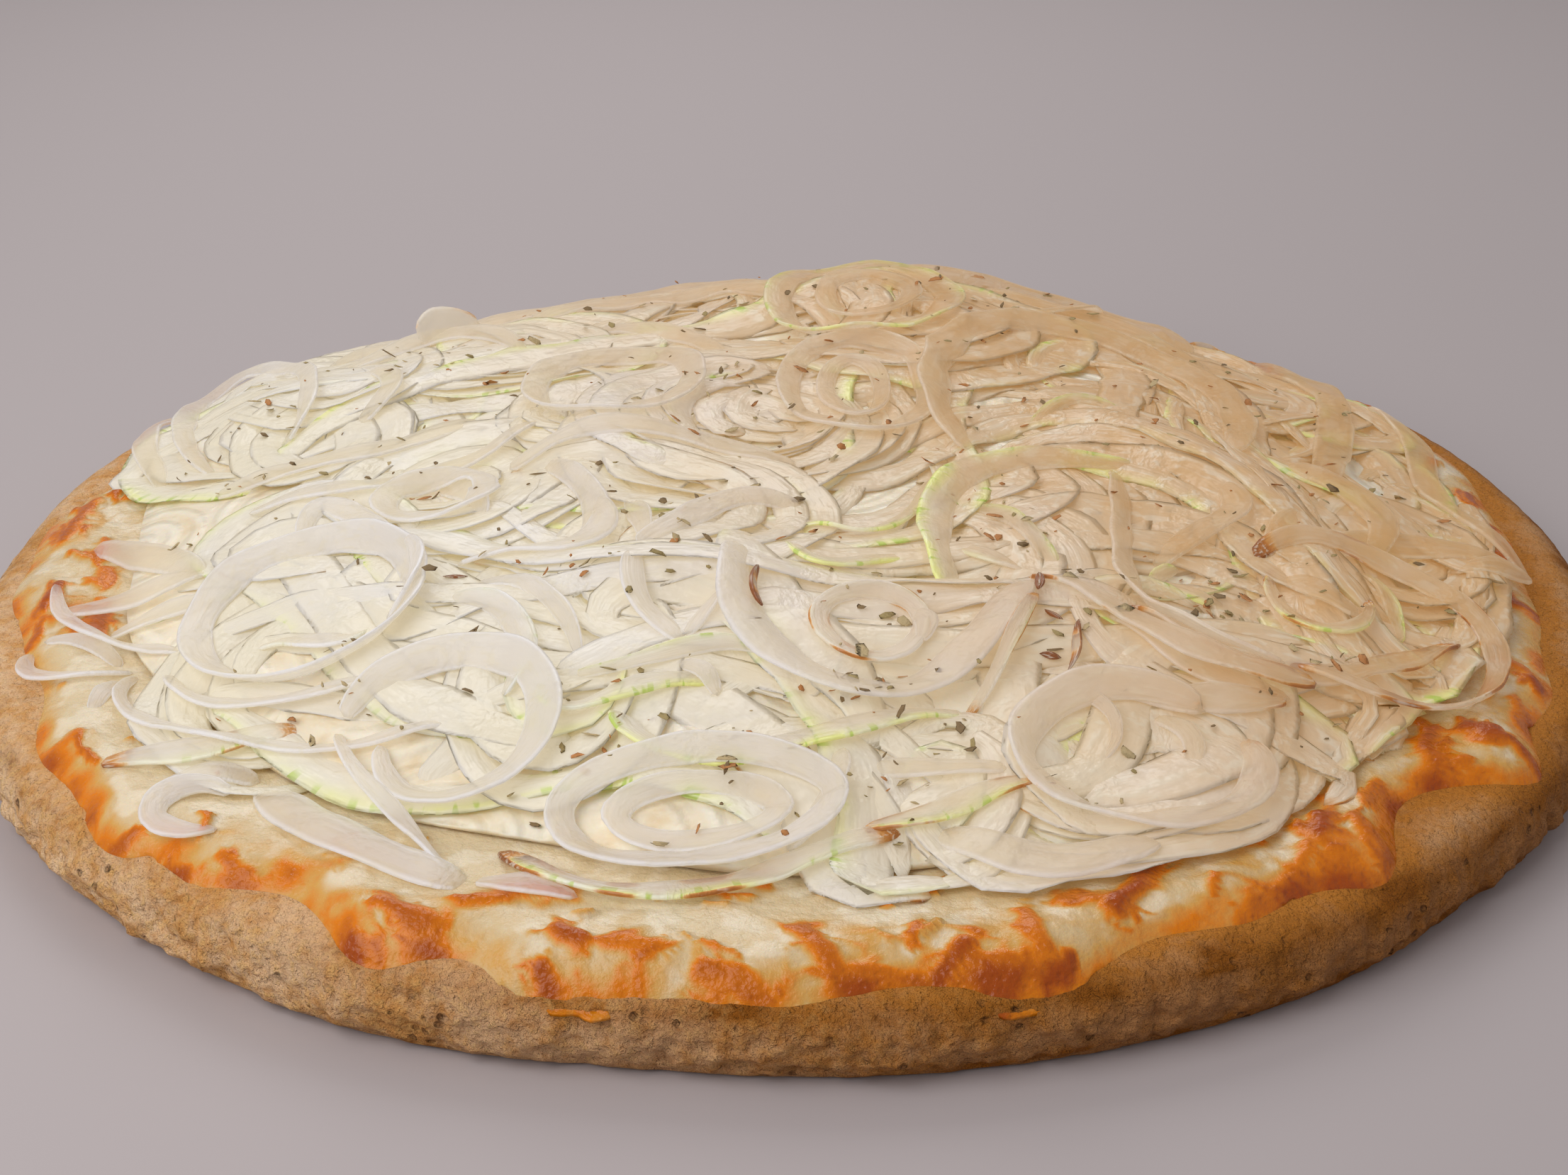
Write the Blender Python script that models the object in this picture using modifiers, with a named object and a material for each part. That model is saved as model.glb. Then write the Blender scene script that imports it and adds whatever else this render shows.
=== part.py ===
"""A fugazzetta: a round flatbread 320 mm across under melted cheese and a broad heap of sliced onion.

Three solids, in metres, resting on the bread's flat underside at z = 0 with the centre at the origin:
dough, cheese and onions. Sizes below are in millimetres and angles in degrees. +X is the viewer's
right and +Y is away from the viewer. A bearing is measured round the bread from +X towards +Y.
"""

import math
from typing import NamedTuple

import bmesh
import bpy
import numpy as np
from mathutils import Euler, Matrix, Vector, noise
from mathutils.bvhtree import BVHTree

MM = 0.001
TURN = 2 * math.pi

# The bread
BREAD_RADIUS = 159.3
BREAD_TOP = 14.5
RIM_SWELL = 1.0
RIM_SWELL_INSET = 10.0
SHOULDER_WIDTH = 9.0
SHOULDER_DROP = 3.4
ROUND_STEPS = 120
CRAG_SIZE = 9.0
CRAG_DEPTH = 1.6
# The side of the bread, as distance in from the outline and height, from the shoulder to the floor
SIDE_PROFILE = ((-0.9, 9.0), (-0.8, 5.6), (0.6, 2.6), (1.9, 0.7), (3.6, 0.0))

# The cheese
CHEESE_RADIUS = 149.5
CHEESE_THICKNESS = 2.7
CHEESE_LIP = 0.35
LAYER_GAP = 0.8
RELIEF_INNER = 122.0
RELIEF_OUTER = 136.0
# Where the cheese ran further out, or less far: bearing, half width and reach
CHEESE_LOBES = (
    (-146, 7, 6.0),
    (-134, 5, 8.0),
    (-127, 4, 6.5),
    (-114, 5, 8.5),
    (-104, 4, 8.0),
    (-90, 8, 6.5),
    (-76, 7, 8.5),
    (-63, 6, 5.0),
    (-53, 4, 7.5),
    (-45, 4, -1.5),
    (-36, 4, 9.0),
    (-27, 5, 3.5),
    (-12, 6, -3.0),
    (17, 5, 4.0),
    (28, 4, 5.5),
    (37, 4, 6.5),
    (43, 4, 6.0),
    (62, 6, -3.0),
    (84, 7, 4.0),
    (104, 5, -2.0),
    (116, 4, 6.0),
    (137, 6, 3.0),
    (159, 5, 5.5),
    (178, 6, 2.5),
    (-170, 5, 4.5),
)
# Browned bubbles and folds that stand up from the cheese: place, radius and height
CHEESE_BLOBS = (
    (-126, -88, 6, 1.6),
    (-127, -96, 5, 1.4),
    (-117, -103, 5, 1.5),
    (-112, -112, 6, 1.7),
    (-106, -113, 5, 1.2),
    (-97, -122, 5, 1.6),
    (-88, -120, 5, 1.0),
    (-70, -141, 6, 1.8),
    (-62, -138, 6, 1.7),
    (-54, -141, 5, 1.3),
    (-39, -134, 7, 1.6),
    (-33, -147, 6, 1.7),
    (-36, -152, 5, 1.6),
    (-22, -148, 6, 1.2),
    (2, -148, 7, 1.3),
    (22, -149, 8, 1.6),
    (40, -146, 7, 1.5),
    (52, -134, 6, 1.7),
    (57, -127, 6, 1.7),
    (70, -136, 6, 1.3),
    (86, -116, 6, 1.8),
    (97, -120, 5, 1.4),
    (82, -110, 4, 1.3),
    (106, -101, 6, 1.8),
    (109, -88, 6, 1.5),
    (119, -84, 6, 1.8),
    (127, -90, 5, 1.7),
    (134, -66, 5, 1.6),
    (134, -56, 5, 1.2),
    (145, 47, 6, 1.7),
    (136, 72, 6, 1.9),
    (124, 92, 6, 1.5),
    (113, 104, 6, 1.7),
    (28, 147, 7, 1.4),
    (-68, 136, 6, 1.8),
    (-104, 108, 6, 1.2),
    (-139, 54, 7, 2.0),
    (-147, 12, 6, 1.4),
    (-144, -14, 6, 1.5),
    (-140, -42, 6, 1.4),
)

# The heap of onion
HEAP_BASE = 18.6
HEAP_RISE = 19.4
HEAP_CENTRE_Y = 5.0
HEAP_RADIUS = 142.0
HEAP_SHARPNESS = 2.6
HEAP_ROUNDING = 0.75
# Where the heap stands higher than its round form: place, radius and height
HEAP_PEAKS = ((25, 104, 36, 7.0), (-118, 52, 22, 4.0), (-74, 78, 16, 4.0), (60, 40, 30, 2.0))
CORE_DEPTH = 4.0
CORE_INSET = 13.0
CORE_STEPS = 56
SLICE_THICKNESS = 1.9
SLICE_STEP = 8.0
SLICE_SINK = 0.5
CHEESE_CLEARANCE = 1.0
STEEPEST = math.radians(28)
EASE_REACH = 1
FLAKE_COUNT = 34
FLAKE_SINK = 0.2


def arc(x, y, rx, ry, start=0.0, sweep=360.0, turn=0.0, spiral=1.0):
    """Points round an ellipse that shrinks by the factor spiral from one end to the other."""
    steps = max(8, round(abs(math.radians(sweep)) * (rx + ry) / 2 / SLICE_STEP))
    along = np.linspace(0, 1, steps + 1)
    angle = np.radians(start + sweep * along)
    size = 1 + (spiral - 1) * along
    points = np.stack([rx * size * np.cos(angle), ry * size * np.sin(angle)], axis=-1)
    c, s = math.cos(math.radians(turn)), math.sin(math.radians(turn))
    points = points @ np.array([[c, s], [-s, c]]) + (x, y)
    return points[:-1] if sweep == 360 else points


def through(*corners):
    """Points on a smooth curve through the corners, an even step apart."""
    corners = np.array(corners, float)
    padded = np.vstack([2 * corners[0] - corners[1], corners, 2 * corners[-1] - corners[-2]])
    fine = []
    for p0, p1, p2, p3 in zip(padded, padded[1:], padded[2:], padded[3:]):
        t = np.linspace(0, 1, 12, endpoint=False)[:, None]
        fine.append(
            0.5 * (2 * p1 + (p2 - p0) * t + (2 * p0 - 5 * p1 + 4 * p2 - p3) * t**2)
            + 0.5 * (3 * p1 - p0 - 3 * p2 + p3) * t**3
        )
    fine = np.vstack(fine + [corners[-1:]])
    length = np.concatenate([[0], np.cumsum(np.hypot(*np.diff(fine, axis=0).T))])
    even = np.linspace(0, length[-1], max(4, round(length[-1] / SLICE_STEP) + 1))
    return np.stack([np.interp(even, length, fine[:, 0]), np.interp(even, length, fine[:, 1])], -1)


class Slice(NamedTuple):
    """A slice of onion: its middle line seen from above, its width, and its roll, outer edge up."""

    line: np.ndarray
    width: float
    roll: float = 0.0
    closed: bool = False


# The largest slices, from the lowest to the highest
SLICES = (
    Slice(through((-130, 18), (-141, 48), (-134, 80), (-112, 98)), 6, 10),
    Slice(through((-118, 5), (-100, 6), (-80, 12), (-62, 26)), 7, 0),
    Slice(through((-108, -10), (-84, -8), (-64, 2), (-50, 18)), 7, 15),
    Slice(through((0, 128), (36, 126), (72, 116), (100, 96)), 8, 30),
    Slice(through((-92, 98), (-62, 116), (-30, 124), (0, 119)), 6, 25),
    Slice(through((-62, 92), (-38, 104), (-14, 102), (4, 90)), 7, 15),
    Slice(through((42, 112), (64, 104), (84, 86), (96, 64)), 7, 20),
    Slice(through((132, 62), (138, 40), (135, 12), (147, -20)), 7, 10),
    Slice(through((110, 92), (123, 70), (119, 36), (108, -4)), 8, 15),
    Slice(through((97, -14), (80, -28), (68, -45)), 6, 10),
    Slice(through((60, -60), (78, -78), (105, -74), (124, -54)), 6, 15),
    Slice(through((44, -58), (58, -68), (72, -82), (90, -85)), 6, 0),
    Slice(through((-42, -131), (-20, -134), (0, -129), (20, -119), (42, -111)), 6, 5),
    Slice(through((28, -117), (38, -126), (52, -127), (66, -118)), 8, 5),
    Slice(through((-86, -92), (-74, -108), (-60, -121), (-44, -130)), 7, 10),
    Slice(through((-121, -91), (-108, -94), (-84, -88)), 6, 5),
    Slice(through((-140, -6), (-126, -16), (-112, -28), (-98, -42)), 7, 10),
    Slice(through((-137, -37), (-120, -38), (-104, -32)), 6, 15),
    Slice(through((-141, -44), (-137, -58), (-120, -64), (-112, -80), (-90, -92), (-60, -92)), 5, 30),
    Slice(arc(-95, -108, 7, 8, start=60, sweep=240), 5, 25),
    Slice(through((-142, -22), (-137, -38), (-124, -50), (-108, -54)), 4, 25),
    Slice(through((-100, 62), (-84, 74), (-66, 72), (-56, 58)), 6, 20),
    Slice(through((-82, 72), (-76, 80), (-70, 82)), 13, 62),
    Slice(arc(-118, 48, 14, 34, start=-60, sweep=300, turn=12), 5, 35),
    Slice(through((-56, -6), (-38, 6), (-16, 4), (4, -8)), 6, 15),
    Slice(through((-108, 82), (-92, 95), (-70, 97)), 6, 20),
    Slice(through((-90, 26), (-84, 42), (-92, 58)), 6, 20),
    Slice(through((-12, 58), (-24, 72), (-44, 80)), 6, 20),
    Slice(through((56, 92), (70, 100), (78, 116)), 6, 20),
    Slice(arc(-68, -16, 10, 9), 6, 20, True),
    Slice(arc(16, 34, 15, 25), 6, 25, True),
    Slice(arc(15, 32, 6, 14), 4, 20, True),
    Slice(arc(-36, 36, 17, 21), 6, 30, True),
    Slice(arc(19, 88, 20, 25), 7, 25, True),
    Slice(arc(20, 86, 10, 14), 5, 25, True),
    Slice(through((-72, -84), (-52, -66), (-46, -40), (-60, -22)), 6, 25),
    Slice(arc(64, 30, 32, 47, start=215, sweep=-245), 8, 25),
    Slice(through((66, -5), (62, -30), (62, -60), (72, -78)), 5, 30),
    Slice(through((30, -56), (29, -28), (42, -8), (70, -6)), 6, 20),
    Slice(through((-4, -22), (-20, -42), (-28, -60), (-16, -84)), 6, 25),
    Slice(through((-40, -84), (-34, -97), (-14, -101), (8, -105), (36, -92)), 6, 15),
    Slice(arc(-13, -116, 22, 11), 5.5, 30, True),
    Slice(arc(15, -73, 9, 10), 3.5, 25, True),
    Slice(arc(15, -66, 24, 25, start=142, sweep=236), 9, 25),
    Slice(arc(46, -99, 9, 8), 3, 30, True),
    Slice(arc(58, -104, 19.5, 15.5), 6.5, 35, True),
    Slice(arc(98, -50, 9, 13, start=150, sweep=240), 3.5, 25),
    Slice(arc(105, -57, 25, 26, start=130, sweep=-265), 4.5, 35),
    Slice(arc(-55, -95, 21, 22, start=165, sweep=-330, spiral=0.6), 6.5, 35),
    Slice(through((-94, -32), (-90, -17), (-80, -24), (-72, -38)), 5, 30),
    Slice(arc(-87, -54, 20, 22), 6.5, 40, True),
)


def waviness(bearing, seed, waves):
    """A wave that closes round the bread: (waves in a turn, height) cosines with seeded phases."""
    phases = np.random.default_rng(seed).uniform(0, TURN, len(waves))
    return sum(h * np.cos(n * bearing + phase) for (n, h), phase in zip(waves, phases))


def bread_outline(bearing):
    return BREAD_RADIUS + waviness(bearing, 3, ((2, 0.5), (3, 0.7), (5, 0.6), (8, 0.5), (13, 0.4)))


def cheese_outline(bearing):
    reach = waviness(bearing, 11, ((4, 0.8), (9, 0.9), (17, 0.8), (29, 0.6)))
    for middle, half_width, extra in CHEESE_LOBES:
        off = (bearing - math.radians(middle) + math.pi) % TURN - math.pi
        reach = reach + extra * np.exp(-((off / math.radians(half_width)) ** 2))
    return np.minimum(CHEESE_RADIUS + reach, bread_outline(bearing) - 0.6)


def heap_outline(bearing):
    return HEAP_RADIUS + waviness(bearing, 7, ((3, 1.5), (5, 1.5), (11, 1.2)))


def bumps(x, y, places):
    """The summed height of round bumps, each given as x, y, radius and height."""
    return sum(h * np.exp(-((x - px) ** 2 + (y - py) ** 2) / r**2) for px, py, r, h in places)


def noise_at(x, y, z, size):
    """Smooth noise from -1 to 1 with features of the given size."""
    places = zip(np.ravel(x) / size, np.ravel(y) / size, np.ravel(z) / size)
    return np.array([noise.noise(Vector(p)) for p in places]).reshape(np.shape(x))


def bread_top(x, y):
    """Height of the bread's top, which swells a little inside a rounded shoulder."""
    inset = bread_outline(np.arctan2(y, x)) - np.hypot(x, y)
    swell = RIM_SWELL * np.exp(-(((inset - RIM_SWELL_INSET) / RIM_SWELL_INSET) ** 2))
    shoulder = np.clip(1 - inset / SHOULDER_WIDTH, 0, 1) ** 2
    return BREAD_TOP + swell - SHOULDER_DROP * shoulder


def cheese_top(x, y):
    """Height of the cheese: smooth under the onion, lumpy round the edge and thin at its lip."""
    radius = np.hypot(x, y)
    edge = np.clip(radius / cheese_outline(np.arctan2(y, x)), 0, 1)
    lip = 1 - (1 - CHEESE_LIP) * np.clip((edge - 0.93) / 0.07, 0, 1) ** 2
    bare = np.clip((radius - RELIEF_INNER) / (RELIEF_OUTER - RELIEF_INNER), 0, 1)
    lumps = 0.5 * noise_at(x, y, np.zeros_like(x), 9.0) + bumps(x, y, CHEESE_BLOBS)
    return bread_top(x, y) + LAYER_GAP + CHEESE_THICKNESS * lip + bare * lip * lumps


def heap_top(x, y):
    """Height that the onion reaches."""
    radius = np.hypot(x, y - HEAP_CENTRE_Y)
    inside = radius / heap_outline(np.arctan2(y - HEAP_CENTRE_Y, x))
    dome = np.clip(1 - inside**HEAP_SHARPNESS, 0, 1) ** HEAP_ROUNDING
    return HEAP_BASE + HEAP_RISE * dome + bumps(x, y, HEAP_PEAKS) * np.clip(dome * 3, 0, 1)


def core_top(x, y):
    """Height of the onion that lies under the slices that show."""
    dips = 1.5 * noise_at(x, y, np.zeros_like(x), 24.0)
    return np.maximum(heap_top(x, y) - CORE_DEPTH + dips, HEAP_BASE + 1.2)


def turned(name, profile, steps, reshape):
    """A closed profile of (radius, height) in mm turned about Z, whose points reshape then moves."""
    mesh = bpy.data.meshes.new(name)
    edges = [(i, i + 1) for i in range(len(profile) - 1)]
    mesh.from_pydata([(r * MM, 0, z * MM) for r, z in profile], edges, [])
    guide = bpy.data.objects.new(name, mesh)
    bpy.context.scene.collection.objects.link(guide)
    screw = guide.modifiers.new("turn", "SCREW")
    screw.steps = screw.render_steps = steps
    screw.use_merge_vertices = True
    screw.merge_threshold = 0.00001
    solid = closed_mesh(guide)
    bpy.data.objects.remove(guide)
    points = np.empty(len(solid.vertices) * 3)
    solid.vertices.foreach_get("co", points)
    x, y, z = (points.reshape(-1, 3) / MM).T
    solid.vertices.foreach_set("co", (np.stack(reshape(x, y, z), axis=-1) * MM).ravel())
    solid.update()
    return solid


def evaluated_mesh(obj):
    """The object's mesh with its modifiers or curve settings applied."""
    graph = bpy.context.evaluated_depsgraph_get()
    return bpy.data.meshes.new_from_object(obj.evaluated_get(graph))


def closed_mesh(obj):
    """The object's evaluated mesh with its seams and caps welded and its faces pointing out."""
    mesh = evaluated_mesh(obj)
    bm = bmesh.new()
    bm.from_mesh(mesh)
    bmesh.ops.remove_doubles(bm, verts=bm.verts, dist=0.00001)
    bmesh.ops.recalc_face_normals(bm, faces=bm.faces)
    bm.to_mesh(mesh)
    bm.free()
    return mesh


def food_material(name, colour, roughness):
    material = bpy.data.materials.new(name)
    material.use_nodes = True
    surface = material.node_tree.nodes["Principled BSDF"]
    surface.inputs["Base Color"].default_value = (*colour, 1)
    surface.inputs["Roughness"].default_value = roughness
    surface.inputs["Metallic"].default_value = 0
    return material


def add_node(collection, name, mesh, material):
    """A sub-part of the bread as an object of its own."""
    mesh.name = name
    mesh.materials.clear()
    mesh.materials.append(material)
    mesh.shade_smooth()
    mesh.set_sharp_from_angle(angle=math.radians(40))
    obj = bpy.data.objects.new(name, mesh)
    collection.objects.link(obj)
    return obj


def dough_mesh():
    """The bread: flat underneath, with a rough upright side and a rounded shoulder."""
    insets_on_top = (28, 14, 8, 4.5, 2, 0)
    profile = [(0, BREAD_TOP)]
    profile += [(BREAD_RADIUS - inset, BREAD_TOP) for inset in insets_on_top]
    profile += [(BREAD_RADIUS - inset, z) for inset, z in SIDE_PROFILE]
    profile += [(0, 0)]

    def reshape(x, y, z):
        bearing = np.arctan2(y, x)
        radius = np.hypot(x, y)
        inset = BREAD_RADIUS - radius
        on_top = (z > SIDE_PROFILE[0][1] + 0.5)
        crags = CRAG_DEPTH * noise_at(x, y, z * 1.6, CRAG_SIZE)
        crags = crags + 0.5 * CRAG_DEPTH * noise_at(x + 50, y, z * 1.6, CRAG_SIZE / 2)
        out = bread_outline(bearing) - inset + np.where(on_top, 0, crags)
        moved = np.where(radius > 1, out / np.maximum(radius, 1), 0)
        x, y = x * moved, y * moved
        return x, y, np.where(on_top, bread_top(x, y), z)

    return turned("dough", profile, ROUND_STEPS, reshape)


def cheese_mesh():
    """The cheese: one layer over the bread, its lumpy margin bare and its middle under the onion."""
    top_parts = (0.0, 0.6, 0.8, 0.855, 0.9, 0.94, 0.97, 1.0)
    under_parts = (0.97, 0.93, 0.86, 0.0)
    profile = [(part * CHEESE_RADIUS, 1) for part in top_parts]
    profile += [(part * CHEESE_RADIUS, -1) for part in (1.0,) + under_parts]

    def reshape(x, y, z):
        scale = cheese_outline(np.arctan2(y, x)) / CHEESE_RADIUS
        x, y = x * scale, y * scale
        return x, y, np.where(z > 0, cheese_top(x, y), bread_top(x, y) + LAYER_GAP)

    return turned("cheese", profile, ROUND_STEPS, reshape)


def core_mesh():
    """The onion under the slices that show, as one uneven mound on the cheese."""
    top_parts = (0.0, 0.2, 0.4, 0.6, 0.78, 0.9, 1.0)
    radius = HEAP_RADIUS - CORE_INSET
    profile = [(part * radius, 1) for part in top_parts]
    profile += [(radius, -1), (0.85 * radius, -1), (0, -1)]

    def reshape(x, y, z):
        scale = (heap_outline(np.arctan2(y, x)) - CORE_INSET) / radius
        x, y = x * scale, y * scale + HEAP_CENTRE_Y
        under = np.full_like(x, HEAP_BASE)
        return x, y, np.where(z > 0, core_top(x, y), under)

    return turned("onions", profile, CORE_STEPS, reshape)


class HeightMap:
    """The highest point laid so far over each square millimetre of the bread."""

    reach = 170

    def __init__(self, core, cheese):
        side = range(-self.reach, self.reach + 1)
        clearances = ((tree_of(core), 0.0), (tree_of(cheese), CHEESE_CLEARANCE + SLICE_SINK))
        self.height = np.array([[self.first_hit(x, y, clearances) for x in side] for y in side])

    @staticmethod
    def first_hit(x, y, clearances):
        above = Vector((x * MM, y * MM, 1))
        for tree, clearance in clearances:
            place = tree.ray_cast(above, Vector((0, 0, -1)))[0]
            if place:
                return place.z / MM + clearance
        return BREAD_TOP

    def cells(self, places):
        index = np.clip(np.rint(places + self.reach).astype(int), 0, 2 * self.reach)
        return index[..., 1], index[..., 0]

    def at(self, places):
        return self.height[self.cells(places)]

    def raise_to(self, places, heights):
        np.maximum.at(self.height, self.cells(places), heights)


def tree_of(mesh):
    bm = bmesh.new()
    bm.from_mesh(mesh)
    tree = BVHTree.FromBMesh(bm)
    bm.free()
    return tree


def headings(line, closed):
    """Unit vectors along a line seen from above."""
    if closed:
        ahead = np.roll(line, -1, axis=0) - np.roll(line, 1, axis=0)
    else:
        ahead = np.gradient(line, axis=0)
    return ahead / np.linalg.norm(ahead, axis=1, keepdims=True)


def eased(values, closed):
    """The values with each peak spread over its neighbours and then smoothed, never much lower."""
    mode = "wrap" if closed else "edge"
    padded = np.pad(values, EASE_REACH, mode=mode)
    peaks = np.max([padded[i : i + len(values)] for i in range(2 * EASE_REACH + 1)], axis=0)
    padded = np.pad(peaks, EASE_REACH, mode=mode)
    return np.mean([padded[i : i + len(values)] for i in range(2 * EASE_REACH + 1)], axis=0)


def laid(heap, piece):
    """Height and lean at each point of a slice dropped on the heap, which then counts it in."""
    ahead = headings(piece.line, piece.closed)
    across = np.stack([ahead[:, 1], -ahead[:, 0]], axis=-1)
    middle = piece.line.mean(axis=0)
    if ((piece.line - middle) * across).sum() < 0:
        across = -across
    offsets = np.linspace(-0.5, 0.5, 7) * piece.width
    under = heap.at(piece.line[:, None] + across[:, None] * offsets[None, :, None])
    slope = np.arctan((under * offsets).sum(axis=1) / (offsets**2).sum())
    lean = np.clip(slope, -STEEPEST, STEEPEST) + math.radians(piece.roll)
    lean = eased(lean, piece.closed)[:, None]
    places = piece.line[:, None] + across[:, None] * (offsets * np.cos(lean))[..., None]
    rise = offsets * np.sin(lean)
    height = (heap.at(places) - rise).max(axis=1) + SLICE_THICKNESS / 2 - SLICE_SINK
    height = eased(height, piece.closed)
    heap.raise_to(places, height[:, None] + rise + SLICE_THICKNESS / 2)
    return height, lean[:, 0], across


def slice_mesh(heap, piece):
    """A ribbon along the slice's line, as a curve swept with a flat section that leans with it."""
    height, lean, across = laid(heap, piece)
    ahead = headings(piece.line, piece.closed)
    side = np.sign((ahead[:, 0] * across[:, 1] - ahead[:, 1] * across[:, 0]).sum())
    section = bpy.data.curves.new("section", "CURVE")
    outline = section.splines.new("POLY")
    outline.points.add(3)
    half_w, half_t = piece.width / 2 * MM, SLICE_THICKNESS / 2 * MM
    corners = ((-half_w, -half_t), (half_w, -half_t), (half_w, half_t), (-half_w, half_t))
    for point, (u, v) in zip(outline.points, corners):
        point.co = (u, v, 0, 1)
    outline.use_cyclic_u = True
    section_object = bpy.data.objects.new("section", section)
    ribbon = bpy.data.curves.new("slice", "CURVE")
    ribbon.dimensions = "3D"
    ribbon.twist_mode = "Z_UP"
    ribbon.bevel_mode = "OBJECT"
    ribbon.bevel_object = section_object
    ribbon.use_fill_caps = True
    spline = ribbon.splines.new("POLY")
    spline.points.add(len(piece.line) - 1)
    ends = np.minimum(np.arange(len(piece.line)), np.arange(len(piece.line))[::-1])
    for point, place, z, tilt, end in zip(spline.points, piece.line, height, lean, ends):
        point.co = (place[0] * MM, place[1] * MM, z * MM, 1)
        point.tilt = side * tilt
        point.radius = 1 if piece.closed or end > 0 else 0.55
    spline.use_cyclic_u = piece.closed
    guide = bpy.data.objects.new("slice", ribbon)
    bpy.context.scene.collection.objects.link(guide)
    mesh = closed_mesh(guide)
    bpy.data.objects.remove(guide)
    bpy.data.objects.remove(section_object)
    return mesh


def flake_mesh(heap, rng):
    """One bent flake of dried herb lying on the heap."""
    radius = 118 * math.sqrt(rng.uniform(0, 1))
    bearing = rng.uniform(0, TURN)
    place = np.array([radius * math.cos(bearing), radius * math.sin(bearing)])
    length, width = rng.uniform(2.4, 4.2), rng.uniform(1.2, 2.0)
    bm = bmesh.new()
    bmesh.ops.create_cone(
        bm, cap_ends=True, segments=5, radius1=0.5 * MM, radius2=0.38 * MM, depth=0.9 * MM
    )
    bmesh.ops.scale(bm, verts=bm.verts, vec=(length, width, 1))
    spin = Euler((rng.normal(0, 0.2), rng.normal(0, 0.2), rng.uniform(0, TURN)))
    height = heap.at(place) + 0.45 - FLAKE_SINK
    location = Vector((place[0] * MM, place[1] * MM, height * MM))
    bmesh.ops.transform(bm, verts=bm.verts, matrix=Matrix.Translation(location) @ spin.to_matrix().to_4x4())
    mesh = bpy.data.meshes.new("flake")
    bm.to_mesh(mesh)
    bm.free()
    return mesh


def keep_largest_shell(mesh):
    """Drops the loose scraps and the walls of sealed hollows that a union leaves."""
    bm = bmesh.new()
    bm.from_mesh(mesh)
    unseen = set(bm.faces)
    shells = []
    while unseen:
        edge_faces = [unseen.pop()]
        shell = list(edge_faces)
        while edge_faces:
            face = edge_faces.pop()
            for near in (other for edge in face.edges for other in edge.link_faces):
                if near in unseen:
                    unseen.remove(near)
                    edge_faces.append(near)
                    shell.append(near)
        shells.append(shell)
    shells.sort(key=len)
    scraps = [face for shell in shells[:-1] for face in shell]
    bmesh.ops.delete(bm, geom=scraps, context="FACES")
    bm.to_mesh(mesh)
    bm.free()


def onions_mesh(cheese):
    """The heap as one solid: the core, the slices that show and the largest herb flakes."""
    core_solid = core_mesh()
    heap = HeightMap(core_solid, cheese)
    rng = np.random.default_rng(21)
    pieces = bpy.data.collections.new("onion pieces")
    bpy.context.scene.collection.children.link(pieces)
    meshes = [slice_mesh(heap, piece) for piece in SLICES]
    meshes += [flake_mesh(heap, rng) for _ in range(FLAKE_COUNT)]
    for mesh in meshes:
        pieces.objects.link(bpy.data.objects.new("onion piece", mesh))
    core = bpy.data.objects.new("core", core_solid)
    bpy.context.scene.collection.objects.link(core)
    union = core.modifiers.new("fuse", "BOOLEAN")
    union.operation = "UNION"
    union.operand_type = "COLLECTION"
    union.collection = pieces
    union.solver = "MANIFOLD"
    bpy.context.view_layer.update()
    mesh = evaluated_mesh(core)
    for obj in [core, *pieces.objects]:
        bpy.data.objects.remove(obj)
    bpy.data.collections.remove(pieces)
    keep_largest_shell(mesh)
    return mesh


def build():
    for obj in list(bpy.data.objects):
        bpy.data.objects.remove(obj)
    bread = bpy.data.collections.new("fugazzetta")
    bpy.context.scene.collection.children.link(bread)
    add_node(bread, "dough", dough_mesh(), food_material("baked dough", (0.72, 0.45, 0.2), 0.75))
    cheese = cheese_mesh()
    add_node(bread, "cheese", cheese, food_material("melted cheese", (0.85, 0.6, 0.3), 0.35))
    add_node(bread, "onions", onions_mesh(cheese), food_material("onion", (0.85, 0.78, 0.62), 0.4))


build()
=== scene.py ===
# %% [markdown]
# # A fugazzetta, dressed for its portrait
#
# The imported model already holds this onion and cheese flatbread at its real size: a round of dough
# 320 mm across, a layer of cheese and a heap of onion. Here each of them gets the surface that the
# real food has. All of it is made in metres, in the model's own frame, so nothing has to be fitted.

import math
from typing import NamedTuple

import bmesh
import bpy
import numpy as np
from mathutils import Euler, Matrix, Vector, noise


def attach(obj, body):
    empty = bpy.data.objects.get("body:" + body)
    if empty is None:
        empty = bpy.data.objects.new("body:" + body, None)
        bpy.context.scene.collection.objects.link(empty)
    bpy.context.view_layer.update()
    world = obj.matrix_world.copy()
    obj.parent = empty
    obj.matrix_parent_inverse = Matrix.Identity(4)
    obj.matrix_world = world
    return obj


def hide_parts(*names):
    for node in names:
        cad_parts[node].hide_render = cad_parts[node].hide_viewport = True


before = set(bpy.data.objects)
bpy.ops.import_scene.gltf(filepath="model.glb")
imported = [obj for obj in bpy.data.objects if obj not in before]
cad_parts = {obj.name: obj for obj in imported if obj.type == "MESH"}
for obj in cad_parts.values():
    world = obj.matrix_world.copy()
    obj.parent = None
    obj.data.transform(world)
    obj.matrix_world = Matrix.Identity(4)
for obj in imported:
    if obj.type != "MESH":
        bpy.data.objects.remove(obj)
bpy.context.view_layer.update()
MM = 0.001
TURN = 2 * math.pi
scene = bpy.context.scene

# %% [markdown]
# ## The camera
#
# The photo was taken from close by, looking down at about 26 degrees, with the round nearly filling
# the width. A close camera makes the front edge look much nearer than the back one, so the distance
# matters as much as the angle. The camera stands about half a metre from the centre.

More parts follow.
